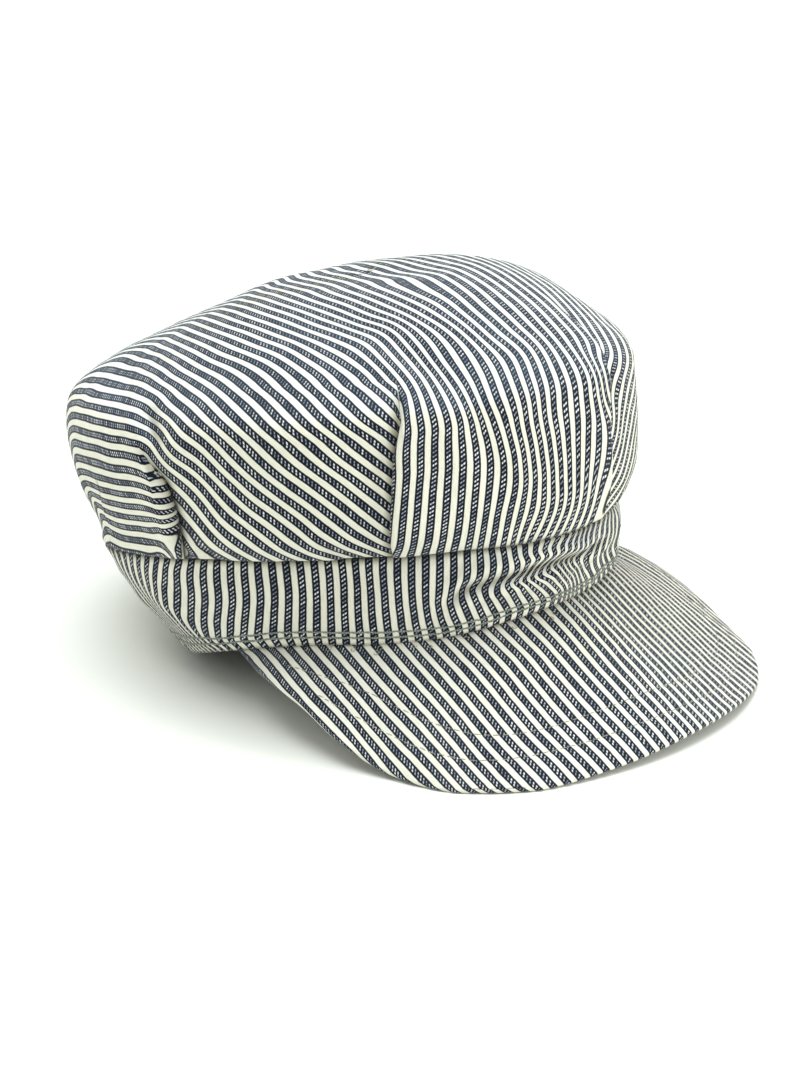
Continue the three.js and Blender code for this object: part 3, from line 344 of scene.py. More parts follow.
def peak_face(across, deep):
    """Middle surface of the peak: upper face at the band, lower face at the rim."""
    at = across * (len(RIBS) - 1)
    turn, x, y, z, arch = [row_at(RIBS[:, c], at) for c in range(5)]
    ring = ring_at(turn, "low")
    ln = np.hypot(ring[..., 0], ring[..., 1])
    root = np.stack([ring[..., 0] * (1 - PEAK_TUCK / ln), ring[..., 1] * (1 - PEAK_TUCK / ln), ring[..., 2] - SEAM_GAP], -1)
    end = np.stack([x, y, z], -1)
    p = root + (end - root) * deep[..., None]
    p[..., 2] += arch * np.sin(math.pi * deep) * deep ** 0.3
    p[..., 2] = np.maximum(p[..., 2], 0)
    return p

def normals(P, loop):
    if loop:
        du = np.roll(P, -1, 1) - np.roll(P, 1, 1)
    else:
        du = np.gradient(P, axis=1)
    dv = np.gradient(P, axis=0)
    n = np.cross(du, dv)
    return n / np.maximum(np.linalg.norm(n, axis=-1, keepdims=True), 1e-9)

# ------------------------------------------------------------------ how the crown's cloth lies
def flat_radius(row):
    e = np.concatenate([[2 * FLAT[0] - FLAT[1]], FLAT, [-FLAT[-2]]])
    at = np.clip(row, 0, 1) * 8
    k = np.clip(np.floor(at).astype(int), 0, 7)
    t = at - k
    return blend(e[k], e[k + 1], e[k + 2], e[k + 3], t)

def fold_turn(f, row):
    return np.interp(row, FOLD_ROWS, f["turns"])

def flat_angle(turn, row, past):
    total = 0
    out = 0
    for f, over in zip(FOLDS, past):
        q = np.clip(1 - row / f["apex"], 0, 1) ** 0.9 * f["jump"]
        total = total + q
        out = out + q * np.where(over, 0.5, -0.5)
    return (360 - total) / 360 * turn + out

def grid_weights(vals):
    n = int(2 * FLAT_HALF / FLAT_STEP) + 1
    a = (vals + FLAT_HALF) / FLAT_STEP
    k = np.clip(np.floor(a).astype(int), 1, n - 3)
    t = a - k
    return k, [0.5 * (-t + 2 * t * t - t ** 3), 0.5 * (2 - 5 * t * t + 3 * t ** 3), 0.5 * (t + 4 * t * t - 3 * t ** 3), 0.5 * (-t * t + t ** 3)]

def crown_cloth(turn, row, past=None):
    """(across the stripes, along the stripes) in mm of flat cloth; past tells for each pleat whether the cloth
    belongs to the side beyond it, which is otherwise seen from turn and row."""
    if past is None:
        past = [turn > fold_turn(f, row) for f in FOLDS]
    mid = np.full_like(turn, -12.0)
    F = flat_radius(row)
    p = rad(flat_angle(turn, row, past) - flat_angle(mid, row, [mid > fold_turn(f, row) for f in FOLDS]) - 12.0)
    uv = np.stack([F * np.sin(p), -F * np.cos(p)], -1)
    X, Y = F * np.sin(rad(turn)), -F * np.cos(rad(turn))
    kx, wx = grid_weights(X)
    ky, wy = grid_weights(Y)
    for a in range(4):
        for b in range(4):
            w = wy[a] * wx[b]
            uv[..., 0] += w * CROWN_U[ky - 1 + a, kx - 1 + b]
            uv[..., 1] += w * CROWN_V[ky - 1 + a, kx - 1 + b]
    for name, terms in SLIPS.items():
        k = [g["name"] for g in FOLDS].index(name)
        f = FOLDS[k]
        on = past[k] if f["slip_side"] > 0 else ~past[k]
        d = (turn - fold_turn(f, row)) * f["slip_side"]
        q = np.clip(1 - row / f["apex"], 0, 1)
        for power, width, du, dv in terms:
            w = on * q ** power * np.exp(-(d / width) ** 2)
            uv[..., 0] += w * du
            uv[..., 1] += w * dv
    uv[..., 0] += CROWN_U0
    return uv

# ------------------------------------------------------------------ relief of the crown
crown_noise = Waves(11, 26, 70)
fine_noise = Waves(23, 5, 12)

def crease_line(d, P, width):
    """1 on a crease that runs between two places of the crown, fading to its sides and ends."""
    a, b = crown_smooth(np.array([d["t0"]]), np.array([d["r0"]]))[0], crown_smooth(np.array([d["t1"]]), np.array([d["r1"]]))[0]
    ab = b - a
    t = np.clip(((P - a) @ ab) / (ab @ ab), 0, 1)
    near = a + t[..., None] * ab
    # distance measured across the line, the curvature of the crown left out
    dist = np.linalg.norm(P - near, axis=-1)
    mid = np.sin(math.pi * np.clip(t, 0.02, 0.98)) ** 0.6
    side = np.sign(((P - near) * np.cross(ab, near)).sum(-1))
    return mid * bell((dist * side - d["shift"]) / width)

def crown_relief(turn, row, P):
    out = np.zeros(turn.shape)
    r = np.hypot(P[..., 0], P[..., 1])
    for f in FOLDS:
        up = row / f["apex"]
        off = rad(wrap(turn - fold_turn(f, row))) * r * -f["under"]
        fade = smooth((1 - up) * 2.2)
        press = 0.35 + 0.65 * smooth(row / 0.22)
        out += f["raise"] * press * fade * np.where(off > 0, bell(off / f["reach"]), 0)
        out -= f["sink"] * press * fade * np.where(off <= 0, bell(off / f["sink_reach"]), 0)
    for d in CREASES:
        out += d["height"] * crease_line(d, P, d["width"])
    out += 0.36 * crown_noise(P)
    out += 0.04 * fine_noise(P)
    # gathers just above the seam
    g = np.sin(rad(turn) * 46 + 2.2 * np.sin(rad(turn) * 7)) * (0.6 + 0.4 * np.sin(rad(turn) * 13 + 1))
    out += 0.25 * g * bell((row - 0.06) / 0.07)
    return out

EYE = np.array([-700.8, -683.3, 395.0]) - np.array([CENTRE[0], CENTRE[1], 0])

def seam_shape(row):
    """The crown puffs over the band and dives behind it at the seam."""
    return 0.9 * bell((row - 0.05) / 0.035) - 1.1 * bell(row / 0.018)

def look_up(P, n, da, db, lift):
    """Where the cloth that stands lift above the smooth surface is found in the tables, which were measured on
    the smooth surface along lines from EYE: a step along each of the surface's two directions."""
    v = EYE - P
    v /= np.linalg.norm(v, axis=-1, keepdims=True)
    c = (n * v).sum(-1)
    k = smooth((c - 0.08) / 0.25) * -lift / np.maximum(c, 0.2)
    off = (v - c[..., None] * n) * k[..., None]
    aa, ab, bb = (da * da).sum(-1), (da * db).sum(-1), (db * db).sum(-1)
    oa, ob = (off * da).sum(-1), (off * db).sum(-1)
    det = np.maximum(aa * bb - ab * ab, 1e-6)
    return np.clip((bb * oa - ab * ob) / det, -6, 6), np.clip((aa * ob - ab * oa) / det, -0.06, 0.06)

def crown_axes(turn, row):
    P = crown_smooth(turn, row)
    h, e = 0.35, 0.004
    dt = (crown_smooth(turn + h, row) - crown_smooth(turn - h, row)) / (2 * h)
    hi, lo = np.clip(row + e, 0, 1), np.clip(row - e, 0, 1)
    dr = (crown_smooth(turn, hi) - crown_smooth(turn, lo)) / (hi - lo)[..., None]
    n = np.cross(dt, dr)
    ln = np.linalg.norm(n, axis=-1, keepdims=True)
    n = np.where(ln > 1e-6, n / np.maximum(ln, 1e-6), np.array([0, 0, 1.0]))
    return P, n, dt, dr

def crown_lift(turn, row, P):
    return crown_relief(turn, row, P) * smooth(row * 16) + seam_shape(row)

def crown_seen(turn, row, lift, axes):
    """Cloth coordinates of a raised point; it stays cloth of its own side of every pleat."""
    P, n, dt, dr = axes
    a, b = look_up(P, n, dt, dr, lift)
    w = wrap(turn)
    past = [w > fold_turn(f, row) for f in FOLDS]
    return crown_cloth(np.clip(w + a, -180, 180), np.clip(row + b, 0, 0.999), past)

def crown_point(turn, row):
    axes = crown_axes(turn, row)
    return axes[0] + axes[1] * crown_lift(turn, row, axes[0])[..., None], axes[1]

# ------------------------------------------------------------------ meshes
def new_object(name, verts, faces, uvs=None, material=None, smooth_shade=True):
    me = bpy.data.meshes.new(name)
    verts = np.asarray(verts, np.float64)
    verts = (verts + np.array([CENTRE[0], CENTRE[1], 0])) * 0.001
    faces = np.asarray(faces, np.int32)
    n = faces.shape[1]
    me.vertices.add(len(verts))
    me.vertices.foreach_set("co", verts.astype(np.float32).ravel())
    me.loops.add(faces.size)
    me.loops.foreach_set("vertex_index", faces.ravel())
    me.polygons.add(len(faces))
    me.polygons.foreach_set("loop_start", np.arange(0, faces.size, n, dtype=np.int32))
    me.polygons.foreach_set("loop_total", np.full(len(faces), n, np.int32))
    me.update(calc_edges=True)
    if uvs is not None:
        layer = me.uv_layers.new(name="cloth")
        layer.data.foreach_set("uv", (np.asarray(uvs)[faces.ravel()] * 0.001).astype(np.float32).ravel())
    me.polygons.foreach_set("use_smooth", np.full(len(faces), smooth_shade))
    me.validate(clean_customdata=False)
    ob = bpy.data.objects.new(name, me)
    bpy.context.collection.objects.link(ob)
    if material:
        me.materials.append(material)
    return ob

def grid_faces(rows, cols, loop, start=0, flip=False):
    j, i = np.meshgrid(np.arange(rows - 1), np.arange(cols if loop else cols - 1), indexing="ij")
    a = start + j * cols + i
    b = start + j * cols + (i + 1) % cols
    c = start + (j + 1) * cols + (i + 1) % cols
    d = start + (j + 1) * cols + i
    f = np.stack([a, b, c, d], -1).reshape(-1, 4)
    return f[:, ::-1] if flip else f

# ------------------------------------------------------------------ crown
# place on a pleat: which layer, how far towards the lower layer, height (0 lower layer, 1 top), cloth used
LIP = [("top", -2.4, 1, 0), ("top", -1.2, 1, 0)]
LIP += [("roll", math.cos(math.radians(a)), 0.5 + 0.5 * math.sin(math.radians(a)), (90 - a) / 180 * math.pi)
        for a in (90, 64, 38, 12, -14, -40, -66, -90)]
LIP += [("under", -0.45, 0.0, 0.3), ("under", -0.85, -0.05, 0.55), ("under", -1.0, -0.5, 0.72),
        ("back", -0.7, -0.9, 0), ("back", -0.3, -0.7, 0), ("low", 0.3, -0.35, 0), ("low", 1.8, 0.0, 0)]

def crown_crease_shade(turn, row):
    """How deep a place lies in the crease beside a pleat or in the seam, 0 to 1, for the painted shade that darkens
    the cloth there.
    """
    P = crown_smooth(turn, row)
    r = np.hypot(P[..., 0], P[..., 1])
    out = 0.75 * bell(row / 0.016)
    for d in CREASES:
        if d["dark"] > 0:
            out = np.maximum(out, d["dark"] * crease_line(d, P, 0.5 * d["width"]))
    for f in FOLDS:
        off = rad(wrap(turn - fold_turn(f, row))) * r * -f["under"]
        fade = smooth((1 - row / f["apex"]) * 3.2)
        out = np.maximum(out, fade * np.where(off > 0, 0.35 * bell(off / 0.9), bell(off / (1.1 + 0.9 * f["sink"] ** 0.5))))
    return out

def fold_block(f, rows):
    """One pleat: a lip that lies on top, rolls back under itself and comes out below."""
    side = f["under"]
    line = fold_turn(f, rows)
    base = crown_smooth(line, rows)
    r = np.maximum(np.hypot(base[:, 0], base[:, 1]), 12)
    up = rows / f["apex"]
    fade = smooth((1 - up) * 2.2)
    w = f["hide"] * np.clip(1 - up, 0, 1) ** 0.6 * fade
    lin = np.linspace(-3.0, 3.0, len(LIP))
    at = lambda e: line + side * np.degrees(e / r)
    def seen(e):
        turn = at(e)
        ax = crown_axes(turn, rows)
        return crown_seen(turn, rows, crown_lift(turn, rows, ax[0]), ax)
    uv_top, uv_low = seen(-0.02), seen(0.02)
    top_slope = (uv_top - seen(-2.0)) / 2.0
    low_slope = (seen(2.0) - uv_low) / 2.0
    # cloth hardly stretches
    cap = lambda s: s / np.maximum(np.linalg.norm(s, axis=1, keepdims=True) / 1.15, 1)
    top_slope, low_slope = cap(top_slope), cap(low_slope)
    top_rel = crown_relief(at(-0.02), rows, crown_smooth(at(-0.02), rows))
    low_rel = crown_relief(at(0.02), rows, crown_smooth(at(0.02), rows))
    h = np.maximum(top_rel - low_rel, 0) * fade
    Ps, UVs, Cs = [], [], []
    for k, (kind, e, o, used) in enumerate(LIP):
        if kind == "top":
            along, uvk = np.full(len(rows), e), None
            height = crown_relief(at(along), rows, crown_smooth(at(along), rows))
        elif kind == "roll":
            along, height = e * h * 0.5, low_rel + (top_rel - low_rel) * o
            uvk = uv_top + top_slope * (used * h * 0.5)[:, None]
        elif kind == "under":
            along, height = e * w, low_rel + o
            a = uv_top + top_slope * (math.pi / 2 * h)[:, None]
            b = uv_low - low_slope * w[:, None]
            uvk = a + (b - a) * used
        elif kind == "back":
            along, height = e * w, low_rel + o
            uvk = uv_low + low_slope * (e * w)[:, None]
        else:
            along, uvk = np.full(len(rows), e), None
            height = crown_relief(at(along), rows, crown_smooth(at(along), rows)) + o
        e_full = fade * along + (1 - fade) * lin[k]
        turn = at(e_full)
        if kind in ("top", "roll"):
            look = np.where(fade > 0.02, np.minimum(e_full, -0.02), e_full)
        else:
            look = np.where(fade > 0.02, np.maximum(e_full, 0.02), e_full)
        plain = seen(look)
        uvk = plain if uvk is None else fade[:, None] * uvk + (1 - fade)[:, None] * plain
        S, nrm, _, _ = crown_axes(turn, rows)
        hh = fade * height + (1 - fade) * crown_relief(turn, rows, S)
        Ps.append(S + nrm * (hh * smooth(rows * 16) + seam_shape(rows))[:, None])
        UVs.append(uvk)
        # painted shade: the layers under the lip and the cloth beside it are painted darker
        deep = {"top": 0, "roll": 0.6 * (1 - o), "under": 1, "back": 1, "low": 1 - 0.15 * e}[kind]
        Cs.append(np.maximum(deep * smooth((1 - up) * 3.2), crown_crease_shade(turn, rows) if kind in ("top", "low") else 0.75 * bell(rows / 0.016)))
    if side < 0:
        Ps, UVs, Cs = Ps[::-1], UVs[::-1], Cs[::-1]
    return np.stack(Ps, 1), np.stack(UVs, 1), np.stack(Cs, 1)

def build_crown(material):
    rows = np.concatenate([np.linspace(0, 0.06, 8)[:-1], np.linspace(0.06, 0.985, 108)])
    R = len(rows)
    order = sorted(FOLDS, key=lambda f: f["turns"][0])
    P, uv, turns, shade = [], [], [], []
    for i, f in enumerate(order):
        last = i == len(order) - 1
        g = order[(i + 1) % len(order)]
        A, B, C = fold_block(f, rows)
        P.append(A)
        uv.append(B)
        shade.append(C)
        t0, t1 = f["turns"][0], g["turns"][0] + 360 * last
        turns.append(np.full(len(LIP), t0))
        a, b = fold_turn(f, rows), fold_turn(g, rows) + 360 * last
        ra = np.maximum(np.hypot(*crown_smooth(a, rows)[:, :2].T), 12)
        rb = np.maximum(np.hypot(*crown_smooth(b, rows)[:, :2].T), 12)
        a, b = a + np.degrees(3.4 / ra), b - np.degrees(3.4 / rb)
        n = max(5, int(round((t1 - t0) * 0.92)))
        t = (np.arange(n) + 0.5) / n
        turn = a[:, None] + (b - a)[:, None] * t
        rw = np.repeat(rows[:, None], n, 1)
        ax = crown_axes(turn, rw)
        lift = crown_lift(turn, rw, ax[0])
        P.append(ax[0] + ax[1] * lift[..., None])
        uv.append(crown_seen(turn, rw, lift, ax))
        shade.append(crown_crease_shade(turn, rw))
        turns.append(t0 + (t1 - t0) * t)
    P, uv, turns, shade = np.concatenate(P, 1), np.concatenate(uv, 1), np.concatenate(turns), np.concatenate(shade, 1)
    n = P.shape[1]
    # the seam allowance behind the band, and the inner face
    inner_rows = np.linspace(0, 0.985, 26)
    T, V = np.meshgrid(turns, inner_rows)
    Q, qn = crown_point(T, V)
    Q = Q - qn * (1.5 + 0.7 * smooth(V * 9))[..., None]
    tuck = [P[0] * np.array([k, k, 1]) - np.array([0, 0, d]) for k, d in ((0.985, 0.5), (0.968, 1.8), (0.958, 5.0), (0.945, 5.2), (0.942, 1.5))]
    tuck_uv = [uv[0] + (uv[0] - uv[2]) * k for k in (0.6, 1.5, 3, 3.2, 4)]
    allP = tuck[::-1] + list(P)
    allU = tuck_uv[::-1] + list(uv)
    m = len(allP)
    verts = np.concatenate([np.stack(allP).reshape(-1, 3), Q.reshape(-1, 3)])
    uvs = np.concatenate([np.stack(allU).reshape(-1, 2), crown_cloth(wrap(T), V).reshape(-1, 2)])
    quads = [grid_faces(m, n, True), grid_faces(len(inner_rows), n, True, m * n, True)]
    i = np.arange(n)
    k = (i + 1) % n
    quads.append(np.stack([m * n + i, m * n + k, k, i], -1))
    top = len(verts)
    one, zero = np.array([1.0]), np.array([0.0])
    tip = crown_point(zero, one)[0]
    verts = np.concatenate([verts, tip, tip - np.array([0, 0, 2.2])])
    uvs = np.concatenate([uvs, crown_cloth(zero, one), crown_cloth(zero, one)])
    a, b = (m - 1) * n, m * n + (len(inner_rows) - 1) * n
    tris = np.concatenate([np.stack([a + i, a + k, np.full(n, top)], -1), np.stack([b + k, b + i, np.full(n, top + 1)], -1)])
    # painted shade: the seam allowance tucked behind the band is painted fully dark
    painted_shade = np.concatenate([np.ones(len(tuck) * n), shade.ravel(), np.zeros(len(verts) - m * n)])
    return mixed_object("crown_cloth", verts, np.concatenate(quads), tris, uvs, material, painted_shade)

def shaded(ob, painted_shade, painted_top_light=1.0):
    # painted shade: how dark each point is painted where shade falls in creases and seams
    layer = ob.data.attributes.new("painted_shade", "FLOAT", "POINT")
    layer.data.foreach_set("value", np.asarray(painted_shade, np.float32).ravel())
    # painted highlight: cloth that faces up is painted paler, as the top catches the light
    nrm = np.zeros(3 * len(ob.data.vertices), np.float32)
    ob.data.vertex_normals.foreach_get("vector", nrm)
    layer = ob.data.attributes.new("painted_top_light", "FLOAT", "POINT")
    layer.data.foreach_set("value", painted_top_light * smooth((nrm[2::3] - 0.45) / 0.5).astype(np.float32))
    return ob

def mixed_object(name, verts, quads, tris, uvs, material, painted_shade):
    me = bpy.data.meshes.new(name)
    v = (verts + np.array([CENTRE[0], CENTRE[1], 0])) * 0.001
    loops = np.concatenate([quads.ravel(), tris.ravel()]).astype(np.int32)
    count = np.concatenate([np.full(len(quads), 4), np.full(len(tris), 3)]).astype(np.int32)
    start = np.concatenate([[0], np.cumsum(count)[:-1]]).astype(np.int32)
    me.vertices.add(len(v))
    me.vertices.foreach_set("co", v.astype(np.float32).ravel())
    me.loops.add(len(loops))
    me.loops.foreach_set("vertex_index", loops)
    me.polygons.add(len(count))
    me.polygons.foreach_set("loop_start", start)
    me.polygons.foreach_set("loop_total", count)
    me.update(calc_edges=True)
    layer = me.uv_layers.new(name="cloth")
    layer.data.foreach_set("uv", (uvs[loops] * 0.001).astype(np.float32).ravel())
    me.polygons.foreach_set("use_smooth", np.full(len(count), True))
    ob = bpy.data.objects.new(name, me)
    bpy.context.collection.objects.link(ob)
    me.materials.append(material)
    return shaded(ob, painted_shade)

# ------------------------------------------------------------------ tables on a grid
def table_at(table, a, b):
    """Smooth value of a table at column a and row b, continued in a straight line at its ends."""
    nb, na = table.shape
    big = np.zeros((nb + 2, na + 2))
    big[1:-1, 1:-1] = table
    big[0, 1:-1] = 2 * table[0] - table[1]
    big[-1, 1:-1] = 2 * table[-1] - table[-2]
    big[:, 0] = 2 * big[:, 1] - big[:, 2]
    big[:, -1] = 2 * big[:, -2] - big[:, -3]
    def parts(v, n):
        k = np.clip(np.floor(v).astype(int), 0, n - 2)
        t = v - k
        return k, (0.5 * (-t + 2 * t * t - t ** 3), 0.5 * (2 - 5 * t * t + 3 * t ** 3), 0.5 * (t + 4 * t * t - 3 * t ** 3), 0.5 * (-t * t + t ** 3))
    ka, wa = parts(a, na)
    kb, wb = parts(b, nb)
    out = 0
    for i in range(4):
        for j in range(4):
            out = out + wa[i] * wb[j] * big[kb + j, ka + i]
    return out

# ------------------------------------------------------------------ band
_t = np.linspace(-180, 180, 721)
_mid = band_smooth(_t, np.full(721, 0.5))
_arc = np.concatenate([[0], np.cumsum(np.linalg.norm(np.diff(_mid, axis=0), axis=1))])
_arc -= np.interp(0, _t, _arc)
_tall = np.linalg.norm(band_smooth(_t, np.full(721, 1.0)) - band_smooth(_t, np.full(721, 0.0)), axis=1)

def band_cloth(turn, row):
    u = np.interp(turn, _t, _arc)
    a = (turn - BAND_FROM) / BAND_STEP
    inside = smooth((a + 8) / 8)
    top = BAND_U.shape[0] - 1
    a = np.clip(a, 0, (5.5 - BAND_FROM) / BAND_STEP)
    shift = table_at(BAND_U, a, np.clip(row, 0, 1) * top)
    # where the band turns away from the buckle only the mean shift goes on
    mean = table_at(BAND_U, a, np.full_like(a, top / 2))
    keep = (0.45 + 0.55 * smooth((9 - turn) / 14)) * smooth((60 - turn) / 50)
    u = u + inside * (mean + (shift - mean) * keep)
    return np.stack([u + BAND_U0, row * np.interp(turn, _t, _tall)], -1)

band_noise = Waves(31, 14, 40)

def stitch_row(turn, which):
    return np.interp(turn, STITCH_TURNS, STITCH_ROWS[which])

def band_relief(turn, row, P):
    out = 0.35 * band_noise(P) + 0.06 * fine_noise(P)
    for c in BUCKLES:
        line = np.interp(turn, c["turns"], c["rows"])
        out += c["height"] * smooth((turn - c["turns"][0]) / c["ease"]) * smooth((c["turns"][-1] - turn) / c["ease"]) * bell((row - line) / c["width"])
    out = out * smooth(np.minimum(row, 1 - row) * 7 + 0.05)
    lo, hi = stitch_row(turn, 0), stitch_row(turn, 1)
    out += 0.45 * bell((row - lo * 0.45) / 0.035) - 0.3 * bell((row - lo) / 0.02) + 0.12 * bell((row - (lo + hi) / 2) / 0.02) - 0.3 * bell((row - hi) / 0.02)
    out += 0.10 * np.sin(rad(turn) * 120 + 2 * np.sin(rad(turn) * 17)) * bell((row - lo * 0.5) / 0.06)
    out -= 0.5 * bell((row - 1.0) / 0.04)
    return out

def band_point(turn, row):
    P = band_smooth(turn, row)
    h = 0.35
    dt = band_smooth(turn + h, row) - band_smooth(turn - h, row)
    dr = band_smooth(turn, row + 0.01) - band_smooth(turn, row - 0.01)
    n = np.cross(dt, dr)
    n /= np.linalg.norm(n, axis=-1, keepdims=True)
    q = P + n * band_relief(turn, row, P)[..., None]
    q[..., 2] = np.maximum(q[..., 2], 0.05)
    return q, n

def band_seen(turn, row):
    P = band_smooth(turn, row)
    h = 0.35
    dt = (band_smooth(turn + h, row) - band_smooth(turn - h, row)) / (2 * h)
    dr = (band_smooth(turn, row + 0.01) - band_smooth(turn, row - 0.01)) / 0.02
    n = np.cross(dt, dr)
    n /= np.linalg.norm(n, axis=-1, keepdims=True)
    a, b = look_up(P, n, dt, dr, band_relief(turn, row, P))
    return band_cloth(np.clip(turn + a, -180, 180), np.clip(row + b, 0, 1))

def build_band(material):
    n = 560
    turn = np.linspace(-180, 180, n + 1)
    T, V = np.meshgrid(turn, np.linspace(0, 1, 36))
    P, N = band_point(T, V)
    uv = band_seen(T, V)
    wall = 2.4
    flat = lambda v: v * np.array([1, 1, 0]) / np.linalg.norm(v[:, :2], axis=1)[:, None]
    def roll(edge, out, dz, uve, sign):
        pts, us = [], []
        for a in (40, 80, 120, 160):
            s, c = math.sin(math.radians(a)), math.cos(math.radians(a))
            q = edge - out * (wall / 2 * (1 - c)) + np.array([0, 0, dz * s])
            q[:, 2] = np.maximum(q[:, 2], 0.03)
            pts.append(q)
            us.append(uve + np.array([0, sign * wall / 2 * math.radians(a)]))
        return pts, us
    low, low_uv = roll(P[0], flat(N[0]), -0.5, uv[0], -1)
    top, top_uv = roll(P[-1], flat(N[-1]), 0.45, uv[-1], 1)
    Ti, Vi = np.meshgrid(turn, np.linspace(0.04, 0.96, 10))
    Q, qn = band_point(Ti, Vi)
    Q = Q - qn * wall
    Q[..., 2] = np.maximum(Q[..., 2], 0.06)
    inner_uv = band_cloth(Ti, Vi)
    S = np.stack(low[::-1] + list(P) + top + list(Q[::-1]))
    U = np.stack(low_uv[::-1] + list(uv) + top_uv + list(inner_uv[::-1]))
    r, m = S.shape[:2]
    # the last column is the first one again; it has its own cloth coordinate
    used = np.arange(r * m).reshape(r, m)
    S[:, -1] = S[:, 0]
    faces = grid_faces(r, m, False)
    i = np.arange(m - 1)
    faces = np.concatenate([faces, np.stack([(r - 1) * m + i, (r - 1) * m + i + 1, i + 1, i], -1)])
    weld = used.copy()
    weld[:, -1] = used[:, 0]
    ob = new_object("band_cloth", S.reshape(-1, 3), weld.ravel()[faces], None, material)
    layer = ob.data.uv_layers.new(name="cloth")
    layer.data.foreach_set("uv", (U.reshape(-1, 2)[faces.ravel()] * 0.001).astype(np.float32).ravel())
    # painted shade: darker under the crown at the seam, at the lower edge, in the buckle's fold and on the rolled top
    # edge
    outer = 0.8 * bell((1 - V) / 0.03) + 0.5 * bell(V / 0.02)
    for c in BUCKLES:
        if c["height"] < -2:
            line = np.interp(T, c["turns"], c["rows"])
            outer += 0.75 * smooth((T - c["turns"][0] - 1) / c["ease"]) * smooth((c["turns"][-1] - T) / c["ease"]) * bell((V - line + 0.015) / 0.045)
    painted_shade = np.zeros((r, m))
    painted_shade[len(low):len(low) + 36] = np.minimum(outer, 1)
    painted_shade[len(low) + 36:len(low) + 36 + len(top)] = 0.8
    return shaded(ob, painted_shade)

# ------------------------------------------------------------------ peak
peak_noise = Waves(41, 28, 80)

def peak_point(A, D):
    M = peak_face(A, D)
    h = 0.004
    da = peak_face(np.clip(A + h, 0, 1), D) - peak_face(np.clip(A - h, 0, 1), D)
    dd = peak_face(A, np.clip(D + h, 0, 1)) - peak_face(A, np.clip(D - h, 0, 1))
    N = np.cross(dd, da)
    N /= np.maximum(np.linalg.norm(N, axis=-1, keepdims=True), 1e-9)
    N *= np.where(N[..., 2:3] < 0, -1, 1)
    th = PEAK_RIM_WALL + (PEAK_WALL - PEAK_RIM_WALL) * (1 - D ** 4)
    up = M + N * (th * D)[..., None]
    rel = 0.25 * peak_noise(up) + 0.05 * fine_noise(up)
    for s in PEAK_STITCH:
        line = np.interp(A, s["across"], s["deep"])
        seen = smooth((A - s["across"][0]) / 0.03) * smooth((s["across"][-1] - A) / 0.03)
        rel -= 0.2 * seen * bell((D - line) / 0.014)
    up = up + N * (rel * smooth((1 - D) * 12))[..., None]
    low = M + N * (th * (D - 1))[..., None]
    low[..., 2] = np.maximum(low[..., 2], 0.03)
    up[..., 2] = np.maximum(up[..., 2], low[..., 2] + 0.4)
    return up, low, N

def build_peak(material):
    c = 300
    deeps = np.concatenate([np.linspace(0, 0.9, 44), np.linspace(0.9, 1, 12)[1:]])
    A, D = np.meshgrid(np.linspace(0, 1, c), deeps)
    r = len(deeps)
    up, low, N = peak_point(A, D)
    delta = table_at(PEAK_U, A * (PEAK_U.shape[1] - 1), D * (PEAK_U.shape[0] - 1))
    top_uv = np.stack([up[..., 0] + delta + PEAK_U0, up[..., 1] * 1.08], -1)
    low_uv = np.stack([low[..., 0] + delta + PEAK_U0, low[..., 1] * 1.08], -1)
    walk = [(j, 0) for j in range(r)] + [(r - 1, i) for i in range(1, c)] + [(j, c - 1) for j in range(r - 2, -1, -1)]
    J, I = np.array(walk).T
    top_e, low_e, uv_e = up[J, I], low[J, I], top_uv[J, I]
    out = np.cross(np.gradient(top_e, axis=0), N[J, I])
    out /= np.maximum(np.linalg.norm(out, axis=1), 1e-9)[:, None]
    far = len(J) // 2
    if (top_e[far] - up.reshape(-1, 3).mean(0)) @ out[far] < 0:
        out = -out
    verts, uvs, quads = [up.reshape(-1, 3)], [top_uv.reshape(-1, 2)], [grid_faces(r, c, False, 0, True)]
    prev, base, m = J * c + I, r * c, len(J)
    for a in (22, 46, 70, 95, 120, 145):
        s, k = math.sin(math.radians(a)), math.cos(math.radians(a))
        p = (top_e + low_e) / 2 + (top_e - low_e) / 2 * k + out * (0.7 * s)
        p[:, 2] = np.maximum(p[:, 2], 0.02)
        verts.append(p)
        uvs.append(uv_e + out[:, :2] * (1.5 * math.radians(a)))
        cur = base + np.arange(m)
        quads.append(np.stack([prev[:-1], cur[:-1], cur[1:], prev[1:]], -1))
        prev, base = cur, base + m
    verts.append(low.reshape(-1, 3))
    uvs.append(low_uv.reshape(-1, 2))
    under = base + J * c + I
    quads.append(np.stack([prev[:-1], under[:-1], under[1:], prev[1:]], -1))
    quads.append(grid_faces(r, c, False, base, False))
    # the root, hidden behind the band
    i = np.arange(c - 1)
    quads.append(np.stack([i, i + 1, base + i + 1, base + i], -1))
    ob = new_object("peak_cloth", np.concatenate(verts), np.concatenate(quads), np.concatenate(uvs), material)
    # painted shade where the peak runs under the band
    painted_shade = np.zeros(len(ob.data.vertices))
    painted_shade[:r * c] = (0.8 * bell(D / 0.03)).ravel()
    return shaded(ob, painted_shade, 0.25)

